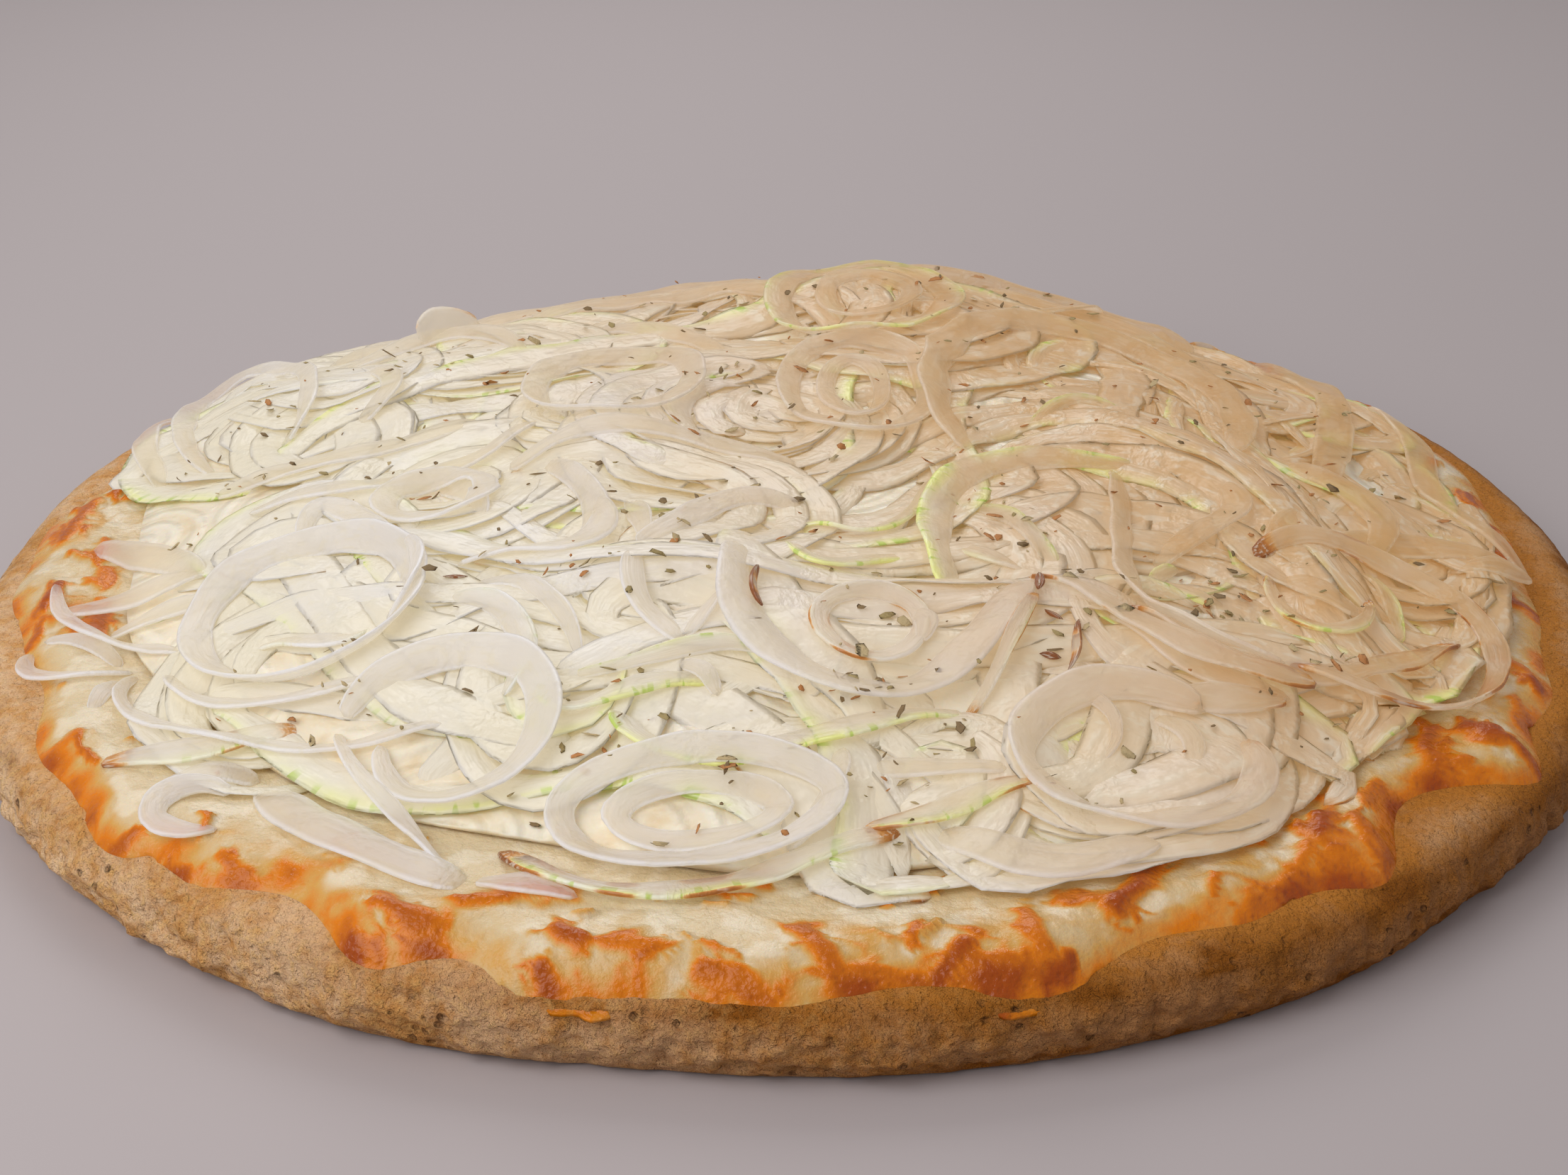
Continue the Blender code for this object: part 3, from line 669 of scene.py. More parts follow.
def cheese_browning(x, y):
    """How brown the cheese is, from 0 to 1."""
    edge = np.hypot(x, y) / cheese_outline(np.arctan2(y, x))
    still = np.zeros_like(x)
    patchy = noise_at(x, y, still + 70, 7.0)
    _, spots, near = stroked(*warped(x, y))
    spots = np.maximum(spots, 0.36 * near)
    spots = np.maximum(spots, np.clip(2.0 * near - 0.35, 0, 0.85) * web(x, y))
    lip = np.clip((edge - 0.955) / 0.035, 0, 1) * np.clip(0.7 + 0.5 * patchy, 0, 1)
    broad = bumps(x, y, GOLDEN) * (0.45 + 0.5 * patchy + 0.6 * web(x, y))
    faint = 0.12 * np.clip(patchy, 0, 1) * np.clip((edge - 0.85) / 0.1, 0, 1)
    return np.clip(np.maximum(spots, broad + lip * 0.6 + faint), 0, 1)


def shape_cheese(x, y, z):
    outline = cheese_outline(np.arctan2(y, x))
    near = np.clip((np.hypot(x, y) / CHEESE_RADIUS - 0.8) / 0.2, 0, 1) ** 2
    still = np.zeros_like(x)
    for size, reach in RAGGED:
        outline = outline + reach * near * noise_at(x, y, still + size, size)
    scale = outline / CHEESE_RADIUS
    x, y = x * scale, y * scale
    return x, y, np.where(z > 0, cheese_top(x, y), bread_top(x, y) - 2 * CHEESE_SINK)


CHEESE_STEPS = 960
MARGIN_ROWS = 64
UNDER_PARTS = (1.0, 0.985, 0.95, 0.88, 0.7, 0)
top_parts = np.concatenate([[0, 0.4, 0.7, 0.78], np.linspace(0.82, 1.0, MARGIN_ROWS)])
cheese_profile = [(part * CHEESE_RADIUS, 1) for part in top_parts]
cheese_profile += [(part * CHEESE_RADIUS, -1) for part in UNDER_PARTS]
cheese_bm = turned(cheese_profile, CHEESE_STEPS, shape_cheese)
cheese_x, cheese_y, _ = places_of(cheese_bm)
browning = cheese_browning(cheese_x, cheese_y)
write_attribute(cheese_bm, "browning", browning)
print("share of the cheese's points that are brown:", round(float((browning > 0.5).mean()), 3))

# %% [markdown]
# The crust is golden where fat ran out of the cheese, so its points keep how near they are to the
# cheese's edge. That is known only now, and so the crust becomes a piece here.

# %% Crust piece
GILT_REACH = 5.5
bread_x, bread_y, bread_z = places_of(bread_bm)
past_cheese = np.hypot(bread_x, bread_y) - cheese_outline(np.arctan2(bread_y, bread_x))
gilt = np.exp(-((np.maximum(past_cheese, 0) / GILT_REACH) ** 2)) * np.clip((bread_z - 8) / 4, 0, 1)
write_attribute(bread_bm, "gilt", gilt)
add_piece("crust", bread_bm, bread_finish(), "dough", "dough")

# %% [markdown]
# Melted cheese lets light in a little and shines. One ramp carries it through all its baked
# colours: cream, straw, gold, orange, and the red brown of the blistered spots, which are glossier
# than the rest because the fat comes out there.

# %% Cheese finish
CURD = (0.84, 0.74, 0.57)
CREAM = (0.70, 0.56, 0.35)
STRAW = (0.67, 0.48, 0.25)
GOLD = (0.66, 0.36, 0.09)
ORANGE = (0.72, 0.20, 0.001)
RED_BROWN = (0.37, 0.065, 0.001)


def cheese_finish():
    cheese = Finish(
        "melted cheese",
        Subsurface_Weight=0.25,
        Subsurface_Scale=0.003,
        Subsurface_Radius=(1.0, 0.6, 0.3),
        Specular_IOR_Level=0.3,
    )
    browning = cheese.attribute("browning")
    mottle = cheese.noise(0.0028, detail=4, roughness=0.6)
    broad = cheese.noise(0.012, detail=2)
    # Towards the right and the front the cheese is pushed towards straw and gold: partly real
    # browning, partly painted shade.
    browning_and_shade_right_front = cheese.towards(1, -0.5, 0.02, 0.16)
    uneven = (mottle - 0.5) * 0.22 + (broad - 0.5) * 0.12
    amount = browning + uneven + browning_and_shade_right_front * (0.16 - browning * 0.16)
    colour = cheese.ramp(
        amount, (0.05, CREAM), (0.24, STRAW), (0.42, GOLD), (0.62, ORANGE), (0.98, RED_BROWN)
    )
    curds = cheese.noise(0.007, detail=3).between(0.48, 0.62) * (1 - browning.between(0.15, 0.4))
    colour = cheese.mix(curds * 0.6, colour, CURD)
    blisters = cheese.pits(0.0013).between(0.05, 0.6)
    normal = cheese.bump(mottle, 0.0006)
    normal = cheese.bump(blisters * browning.between(0.3, 0.8), 0.00012, normal)
    gloss = 0.22 - browning.between(0.3, 0.9) * 0.06 + mottle * 0.12
    return cheese.shows(Base_Color=colour, Roughness=gloss, Normal=normal)


add_piece("melted_cheese", cheese_bm, cheese_finish(), "cheese", "cheese")

# %% [markdown]
# ## How the heap is stacked
#
# A heap of slices looks real only when each lies on those below it. A height map keeps the highest
# point laid so far over each square millimetre. A slice is a line seen from above, and it comes to
# rest on the map: each point of it is lifted clear of what is under its width, it leans with the
# slope it finds, and it bridges small gaps because it is a little stiff. Then it is added to the
# map itself, and the next one can lie on it.

# %% Heap sizes, in millimetres
HEAP_BASE = 18.6
HEAP_RISE = 19.4
HEAP_CENTRE_Y = 5.0
HEAP_RADIUS = 142.0
HEAP_SHARPNESS = 2.6
HEAP_ROUNDING = 0.75
HEAP_PEAKS = ((25, 104, 36, 7.0), (-118, 52, 22, 4.0), (-74, 78, 16, 4.0), (60, 40, 30, 2.0))
CORE_DEPTH = 4.2
CORE_INSET = 10.0
STEEPEST = math.radians(32)
ROLL_SHARE = 0.8


def heap_outline(bearing):
    return HEAP_RADIUS + waviness(bearing, 7, ((3, 1.5), (5, 1.5), (11, 1.2)))


def heap_top(x, y):
    """Height that the onion reaches."""
    radius = np.hypot(x, y - HEAP_CENTRE_Y)
    inside = radius / heap_outline(np.arctan2(y - HEAP_CENTRE_Y, x))
    dome = np.clip(1 - inside**HEAP_SHARPNESS, 0, 1) ** HEAP_ROUNDING
    return HEAP_BASE + HEAP_RISE * dome + bumps(x, y, HEAP_PEAKS) * np.clip(dome * 3, 0, 1)


def core_top(x, y):
    """Height of the onion that lies too deep to be seen."""
    level = np.zeros_like(x)
    dips = 1.0 * noise_at(x, y, level, 30.0) + 0.5 * noise_at(x, y, level + 60, 12.0)
    return np.maximum(heap_top(x, y) - CORE_DEPTH + dips, HEAP_BASE + 0.6)


print("heap top, mm:", round(float(heap_top(0.0, 0.0)), 1))

# %% [markdown]
# The map starts as the core inside the heap and the cheese round it. A slice reads the map under
# its width. How it settles is a running maximum and a running mean along it, on whole rows.

# %% The height map


class HeightMap:
    """The highest point laid so far over each square millimetre of the bread."""

    reach = 170

    def __init__(self):
        self.side = np.arange(-self.reach, self.reach + 1, dtype=float)
        x, y = np.meshgrid(self.side, self.side)
        outline = heap_outline(np.arctan2(y - HEAP_CENTRE_Y, x)) - CORE_INSET
        self.inside = np.hypot(x, y - HEAP_CENTRE_Y) < outline
        self.height = np.where(self.inside, core_top(x, y), cheese_top(x, y) + 0.6)

    def cells(self, places):
        index = np.clip(np.rint(places + self.reach).astype(int), 0, 2 * self.reach)
        return index[..., 1], index[..., 0]

    def at(self, places):
        return self.height[self.cells(places)]

    def raise_to(self, places, heights):
        np.maximum.at(self.height, self.cells(places), heights)


def windows(values, reach, closed):
    """Each value with its neighbours on both sides, as rows."""
    padded = np.pad(values, reach, mode="wrap" if closed else "edge")
    return np.lib.stride_tricks.sliding_window_view(padded, 2 * reach + 1)


def eased(values, stiffness, closed):
    """The values smoothed, with each peak widened first where the slice is stiff."""
    longest = (len(values) - 1) // 2
    peaks = windows(values, min(round(6 * stiffness), longest), closed).max(axis=1)
    smooth = windows(peaks, min(6, longest), closed).mean(axis=1)
    return windows(smooth, min(3, longest), closed).mean(axis=1)


print("peaks in a row of five, eased:", eased(np.array([0.0, 0, 1, 0, 0]), 0.5, False).round(2))

# %% [markdown]
# ## A slice of onion
#
# A ring of onion is a band: as wide as the cut was thick, about a millimetre thick itself, and
# curled to the onion's curve. It starts as a flat grid that is rolled into a closed tube with a
# flat section, and is swept along its line. Its width wanders and its edges ruffle a little.
# First it needs that line, as seen from above: part of an ellipse, or a curve through some places.

# %% A slice and its line


class Slice(NamedTuple):
    """A slice: its middle line from above, width, roll with the outer edge up, and its colours."""

    line: np.ndarray
    width: float
    roll: float = 0.0
    closed: bool = False
    green: float = 0.0
    brown: float = 0.0
    tone: float = 0.3
    start: float = 0.5
    end: float = 0.5
    thickness: float = 1.2
    stiffness: float = 0.5
    sink: float = 0.4
    dive: float = 1.5
    edge: float = 1.15


def even_steps(points, step=1.0, closed=False):
    """The same line with a point every step."""
    if closed:
        points = np.vstack([points, points[:1]])
    length = np.concatenate([[0], np.cumsum(np.hypot(*np.diff(points, axis=0).T))])
    count = max(6, round(length[-1] / step))
    even = np.linspace(0, length[-1], count + (not closed), endpoint=not closed)
    return np.stack([np.interp(even, length, part) for part in points.T], axis=-1)


def arc(x, y, rx, ry, start=0.0, sweep=360.0, turn=0.0, spiral=1.0):
    """A line round an ellipse that shrinks by the factor spiral from one end to the other."""
    along = np.linspace(0, 1, 120)
    angle = np.radians(start + sweep * along)
    size = 1 + (spiral - 1) * along
    points = np.stack([rx * size * np.cos(angle), ry * size * np.sin(angle)], axis=-1)
    c, s = math.cos(math.radians(turn)), math.sin(math.radians(turn))
    points = points @ np.array([[c, s], [-s, c]]) + (x, y)
    return even_steps(points[:-1], closed=True) if sweep == 360 else even_steps(points)


def through(*corners):
    """A line on a smooth curve through the corners."""
    corners = np.array(corners, float)
    padded = np.vstack([2 * corners[0] - corners[1], corners, 2 * corners[-1] - corners[-2]])
    fine = []
    for p0, p1, p2, p3 in zip(padded, padded[1:], padded[2:], padded[3:]):
        t = np.linspace(0, 1, 16, endpoint=False)[:, None]
        fine.append(
            0.5 * (2 * p1 + (p2 - p0) * t + (2 * p0 - 5 * p1 + 4 * p2 - p3) * t**2)
            + 0.5 * (3 * p1 - p0 - 3 * p2 + p3) * t**3
        )
    line = even_steps(np.vstack(fine + [corners[-1:]]))
    reach = min(4, (len(line) - 1) // 2)
    for _ in range(2):
        line = np.stack([windows(part, reach, False).mean(axis=1) for part in line.T], axis=-1)
    return even_steps(line)


print("steps round a ring 40 mm across:", len(arc(0, 0, 20, 20)))

# %% [markdown]
# A slice is laid in the way that it would fall. Its width is known first, then the slope under it,
# which it takes over as far as it can, and last its height. Open ends taper and dive a little, so
# that they don't end in the air.

# %% Laying a slice
# Lengths in millimetres, which are also the steps of a line
WANDER_SIZE = 11.0
SWAY_SIZE = 18.0
LONG_TAPER = 22.0
END_ROUNDING = 2.2
DIVE_LENGTH = 11
PLACES_ACROSS = 9


def headings(line, closed):
    """Unit vectors along a line seen from above."""
    if closed:
        ahead = np.roll(line, -1, axis=0) - np.roll(line, 1, axis=0)
    else:
        ahead = np.gradient(line, axis=0)
    return ahead / np.maximum(np.linalg.norm(ahead, axis=1, keepdims=True), 1e-6)


def outward(line, ahead):
    """Unit vectors across the line, pointing away from the middle of its ring."""
    across = np.stack([ahead[:, 1], -ahead[:, 0]], axis=-1)
    if ((line - line.mean(axis=0)) * across).sum() < 0:
        across = -across
    return across


def widths_along(piece, rng):
    """Half the width at each point of the line, wandering a little and rounded at open ends."""
    count = len(piece.line)
    track = np.full(count, rng.uniform(0, 99))
    wander = noise_at(np.arange(count), track, np.zeros(count), WANDER_SIZE)
    half = piece.width / 2 * (1 + 0.25 * wander)
    if piece.closed:
        return half
    from_start = np.arange(count)
    from_end = count - 1 - from_start
    long_taper = min(LONG_TAPER, count / 2.5)
    for distance, size in ((from_start, piece.start), (from_end, piece.end)):
        half = half * (size + (1 - size) * np.clip(distance / long_taper, 0, 1) ** 0.7)
        half = half * np.sqrt(1 - (1 - np.clip(distance / END_ROUNDING, 0, 1)) ** 2)
    return half


class Laid(NamedTuple):
    """Where a slice came to rest: heights, leans and directions, and its top on the map."""

    height: np.ndarray
    lean: np.ndarray
    across: np.ndarray
    places: np.ndarray
    top: np.ndarray


def lay(heap, piece, half, rng):
    """Drops a slice on the heap, where it comes to rest on whatever is under its width."""
    ahead = headings(piece.line, piece.closed)
    across = outward(piece.line, ahead)
    offsets = np.linspace(-1, 1, PLACES_ACROSS) * np.maximum(half, 0.3)[:, None]
    under = heap.at(piece.line[:, None] + across[:, None] * offsets[..., None])
    slope = np.arctan((under * offsets).sum(axis=1) / (offsets**2).sum(axis=1))
    count = len(piece.line)
    track = np.full(count, rng.uniform(0, 99))
    sway = noise_at(np.arange(count), track, np.ones(count), SWAY_SIZE)
    rolled = math.radians(ROLL_SHARE * piece.roll) * (1 + 0.5 * sway)
    lean = np.clip(slope, -STEEPEST, STEEPEST) + rolled
    lean = windows(lean, min(5, (count - 1) // 2), piece.closed).mean(axis=1)
    places = piece.line[:, None] + across[:, None] * (offsets * np.cos(lean)[:, None])[..., None]
    rise = offsets * np.sin(lean)[:, None]
    gap = heap.at(places) - rise
    rest = piece.stiffness * gap.max(axis=1) + (1 - piece.stiffness) * gap.mean(axis=1)
    height = eased(rest + piece.thickness / 2 - piece.sink, piece.stiffness, piece.closed)
    if not piece.closed:
        from_end = np.minimum(np.arange(count), count - 1 - np.arange(count))
        height = height - piece.dive * np.clip(1 - from_end / DIVE_LENGTH, 0, 1) ** 2
    top = height[:, None] + rise + piece.thickness / 2
    return Laid(height, lean, across, places, top)


print("a slice feels what is under it at", PLACES_ACROSS, "places across its width")

# %% [markdown]
# bmesh makes the flat grid, one row of points for each station along the line. Its two long sides
# are laid on each other, so that the grid closes into a tube, and the doubled points are merged.
# Each point also keeps where it is on the slice and how green or brown that is, for the material.

# %% A slice as mesh
ATTRIBUTES = ("along", "across", "tone", "green", "brown", "seared")
FEWEST_STATIONS = 6
MOST_STATIONS = 90


def section(sides):
    """A flat rounded section: its cosines, and places from -1 to 1 across and through it."""
    angle = np.linspace(0, TURN, sides, endpoint=False)
    across = np.sign(np.cos(angle)) * np.abs(np.cos(angle)) ** 0.8
    through_it = np.sign(np.sin(angle)) * np.abs(np.sin(angle)) ** 0.75
    return np.cos(angle), across, through_it


def slice_points(piece, half, laid, stations, sides, rng):
    """The points of a slice's surface, one ring of them for each station."""
    count = len(piece.line)
    pick = np.rint(np.linspace(0, count - (not piece.closed), stations)).astype(int) % count
    base = np.column_stack([piece.line, laid.height])[pick]
    tilt = laid.lean[pick]
    side = laid.across[pick]
    cos, sin = np.cos(tilt)[:, None], np.sin(tilt)[:, None]
    u = np.hstack([side * cos, sin])
    v = np.hstack([-side * sin, cos])
    _, flat, deep = section(sides)
    reach = half[pick][:, None]
    thin = np.minimum(1, reach / 1.2) * piece.thickness / 2
    phase = rng.uniform(0, TURN)
    ruffle = 0.35 * np.sin(pick / rng.uniform(2.5, 5.0) + phase)[:, None] * flat * np.abs(flat)
    camber = rng.uniform(-0.05, 0.16) * min(1, piece.edge + 0.25) * reach * (1 - flat**2)
    out = flat * reach
    up = deep * thin * (0.8 + (piece.edge - 0.8) * flat**2) + camber
    up = up + ruffle * np.minimum(1, reach / 2.5)
    points = base[:, None] + u[:, None] * out[..., None] + v[:, None] * up[..., None]
    return points, pick


def slice_colours(piece, laid, pick, sides, rng):
    """What the material reads at each point, in the order of ATTRIBUTES."""
    across = section(sides)[0]
    along = pick.astype(float)
    shape = (len(pick), sides)
    count = len(piece.line)
    from_end = np.minimum(along, count - 1 - along)
    near_end = np.full(len(along), 99.0) if piece.closed else from_end
    tip = np.clip(1.3 - near_end / (5 + 3 * rng.uniform()), 0, 1)[:, None]
    track = np.full(len(along), rng.uniform(0, 99))
    drawn = noise_at(along, track, np.zeros(len(along)), 9.0)[:, None]
    brown = piece.brown * tip
    seared = piece.brown * np.clip(0.4 + 1.6 * drawn, 0, 1)
    green_side = np.clip(0.25 + across * np.sign(piece.green), 0, 1)[None, :]
    green = abs(piece.green) * green_side * np.clip(0.75 + 0.8 * drawn, 0, 1)
    # A slice that lies deeper under the heap's top gets a clearer, warmer tone: painted shade.
    low = (heap_top(*piece.line.T) - laid.height)[pick % count, None]
    tone = piece.tone + 0.15 * drawn + 0.5 * np.clip(low / 5, 0, 1)
    layers = (along[:, None], across[None, :], tone, green, brown, seared)
    return [np.broadcast_to(layer, shape) for layer in layers]


def add_slice(bm, heap, piece, step, sides, rng, headroom):
    """Lays one slice and adds its mesh: a grid rolled into a tube along its line."""
    half = widths_along(piece, rng)
    laid = lay(heap, piece, half, rng)
    if np.mean(laid.height - heap_top(*piece.line.T)) > headroom:
        return False
    heap.raise_to(laid.places, laid.top)
    stations = round(len(piece.line) / step)
    stations = int(np.clip(stations, FEWEST_STATIONS, MOST_STATIONS)) + 1
    points, pick = slice_points(piece, half, laid, stations, sides, rng)
    colours = slice_colours(piece, laid, pick, sides, rng)
    size = {"x_segments": stations - 1, "y_segments": sides, "size": 1.0}
    verts = bmesh.ops.create_grid(bm, **size)["verts"]
    start = np.array([v.co[:2] for v in verts])
    row = np.rint((start[:, 0] + 1) / 2 * (stations - 1)).astype(int)
    column = np.rint((start[:, 1] + 1) / 2 * sides).astype(int) % sides
    layers = [bm.verts.layers.float[name] for name in ATTRIBUTES]
    values = np.stack([colour[row, column] for colour in colours], axis=-1).tolist()
    for vert, place, numbers in zip(verts, points[row, column] * MM, values):
        vert.co = place
        for layer, number in zip(layers, numbers):
            vert[layer] = number
    bmesh.ops.remove_doubles(bm, verts=verts, dist=0.0001 * MM)
    return True


def slice_mesh(heap, pieces, step, sides, seed, headroom=math.inf):
    """The slices of a list, laid in turn, as one mesh. One that stands too high is left out."""
    bm = bmesh.new()
    for name in ATTRIBUTES:
        bm.verts.layers.float.new(name)
    rng = np.random.default_rng(seed)
    laid = sum(add_slice(bm, heap, piece, step, sides, rng, headroom) for piece in pieces)
    above = heap.height - heap_top(*np.meshgrid(heap.side, heap.side))
    mean_height = round(float(above[heap.inside].mean()), 1)
    print(laid, "slices laid; mean height over the heap's own, mm:", mean_height)
    bmesh.ops.recalc_face_normals(bm, faces=bm.faces)
    return bm


# %% [markdown]
# ## The inside of the heap
#
# Deep in the heap the onion has gone soft. It is one mound, lower than the solid model's heap by the
# slices that will cover it, and it shows only as warm colour in the gaps, a warm tan that is partly
# painted shade.

# %% Core
CORE_STEPS = 200
CORE_ROWS = 34
# The warm tan of the core is partly painted shade of the gaps it shows in.
CORE_COLOURS = ((0.28, (0.80, 0.62, 0.38)), (0.42, (0.88, 0.78, 0.60)), (0.7, (0.92, 0.86, 0.74)))
CORE_EDGE = (0.80, 0.64, 0.42)


def shape_core(x, y, z):
    radius = HEAP_RADIUS - CORE_INSET
    scale = (heap_outline(np.arctan2(y, x)) - CORE_INSET) / radius
    x, y = x * scale, y * scale + HEAP_CENTRE_Y
    return x, y, np.where(z > 0, core_top(x, y), HEAP_BASE)


core_parts = np.linspace(0, 1, CORE_ROWS)
core_profile = [(part * (HEAP_RADIUS - CORE_INSET), 1) for part in core_parts]
core_profile += [(HEAP_RADIUS - CORE_INSET, -1), (0, -1)]
core_bm = turned(core_profile, CORE_STEPS, shape_core)


def core_finish():
    soft = Finish(
        "softened onion",
        Subsurface_Weight=0.3,
        Subsurface_Scale=0.003,
        Subsurface_Radius=(1.0, 0.6, 0.3),
    )
    colour = soft.ramp(soft.noise(0.009, detail=4), *CORE_COLOURS)
    layers = soft.node("ShaderNodeMath", {"operation": "PINGPONG"}, [soft.pits(0.034) * 34, 2.6])
    edges = layers.between(0.5, 2.4)
    colour = soft.mix((1 - edges) * 0.3, colour, CORE_EDGE)
    normal = soft.bump(soft.noise(0.003, detail=3), 0.0004)
    normal = soft.bump(edges, 0.0005, normal)
    return soft.shows(Base_Color=colour, Roughness=0.35, Normal=normal)


add_piece("onion_core", core_bm, core_finish(), "onions", "onions")

# %% [markdown]
# ## The slices under the top ones
#
# Most of the heap is slices that lie every way, drawn at random from a fixed seed, with radii,
# widths and lengths like those in the photo. They are only background to the ones that are placed
# one by one, so each has few faces.

# %% Slices that fill the heap
CLUMP_COUNT = 90
STRANDS_PER_CLUMP = 2
LIE_SIZE = 70.0
FILL_HEADROOM = 0.5
FILL_SEED = 17
FILL_MESH = {"step": 3.6, "sides": 8, "seed": 4}


def kept_inside(line, rng):
    """The line, with whatever is outside the heap drawn in to its edge."""
    away = line - (0, HEAP_CENTRE_Y)
    limit = heap_outline(np.arctan2(away[:, 1], away[:, 0])) - rng.uniform(0, 6)
    shrink = np.minimum(1, limit / np.maximum(np.hypot(*away.T), 1))
    return even_steps(away * shrink[:, None] + (0, HEAP_CENTRE_Y))


def soft_slice(line, width, roll, tone, rng):
    """A slice that gives way to what is under it, sinks in a little and dives at its ends."""
    return Slice(
        line=kept_inside(line, rng),
        width=width,
        roll=roll,
        green=rng.choice([0, 0, 0, 0, 0.8, -0.8]) * rng.uniform(0.4, 1),
        brown=rng.choice([0, 0, 0, 0, 0, 0.6]) * rng.uniform(0.3, 1),
        tone=tone + rng.uniform(-0.1, 0.1),
        start=rng.uniform(0.1, 0.5),
        end=rng.uniform(0.1, 0.5),
        thickness=rng.uniform(0.75, 1.0),
        stiffness=0.05,
        sink=0.3,
        dive=1.2,
        edge=0.45,
    )


def random_spot(rng):
    spot, bearing = (HEAP_RADIUS - 10) * math.sqrt(rng.uniform()), rng.uniform(0, TURN)
    return spot * math.cos(bearing), spot * math.sin(bearing) + HEAP_CENTRE_Y


def random_clump(rng):
    """The nested layers of one cut through an onion, slid apart a little, from the outside in."""
    x, y = random_spot(rng)
    radius, flat = rng.uniform(15, 40), rng.uniform(0.5, 1)
    turn, start = rng.uniform(0, 180), rng.uniform(0, 360)
    sweep, tone = rng.uniform(170, 345), rng.uniform(0.05, 0.5)
    spacing = rng.uniform(4.6, 9.0)
    clump = []
    for _ in range(rng.integers(2, 6)):
        if radius < 6:
            break
        line = arc(
            x + rng.normal(0, 1.5),
            y + rng.normal(0, 1.5),
            radius,
            radius * flat,
            start + rng.normal(0, 12),
            sweep * rng.uniform(0.75, 1.05),
            turn,
        )
        width, roll = spacing * rng.uniform(1.15, 1.6), rng.normal(8, 3)
        clump.append(soft_slice(line, width, roll, tone, rng))
        radius -= spacing
    return clump


def random_strand(rng):
    """A long slice that follows the lie of the heap, as if combed."""
    place, off = np.array(random_spot(rng)), rng.normal(0, 0.6)
    line = [place]
    for _ in range(rng.integers(35, 80)):
        heading = off + 2.2 * noise.noise(Vector((*place, 0)) / LIE_SIZE)
        place = place + 2 * np.array([math.cos(heading), math.sin(heading)])
        line.append(place)
    width, roll, tone = rng.uniform(4, 12), rng.normal(5, 5), rng.uniform(0.1, 0.5)
    return soft_slice(np.array(line), width, roll, tone, rng)


def fill_slices(seed):
    """Clumps and strands, mixed, from the lowest to the highest."""
    rng = np.random.default_rng(seed)
    slices = []
    for _ in range(CLUMP_COUNT):
        slices += random_clump(rng)
        slices += [random_strand(rng) for _ in range(STRANDS_PER_CLUMP)]
    return slices


heap = HeightMap()
fill_bm = slice_mesh(heap, fill_slices(FILL_SEED), **FILL_MESH, headroom=FILL_HEADROOM)

# %% [markdown]
# ## The slices on top
#
# These are the ones that the eye follows, placed one by one from the photo, lowest first. Whole
# rings and loops are arcs of an ellipse; the others are curves through a few places.

# %% Slices placed one by one, in millimetres
TOP_MESH = {"step": 1.3, "sides": 12, "seed": 9}


def bent(width, roll, *corners, **more):
    """A slice on a smooth curve through the corners."""
    return Slice(through(*corners), width, roll, **more)


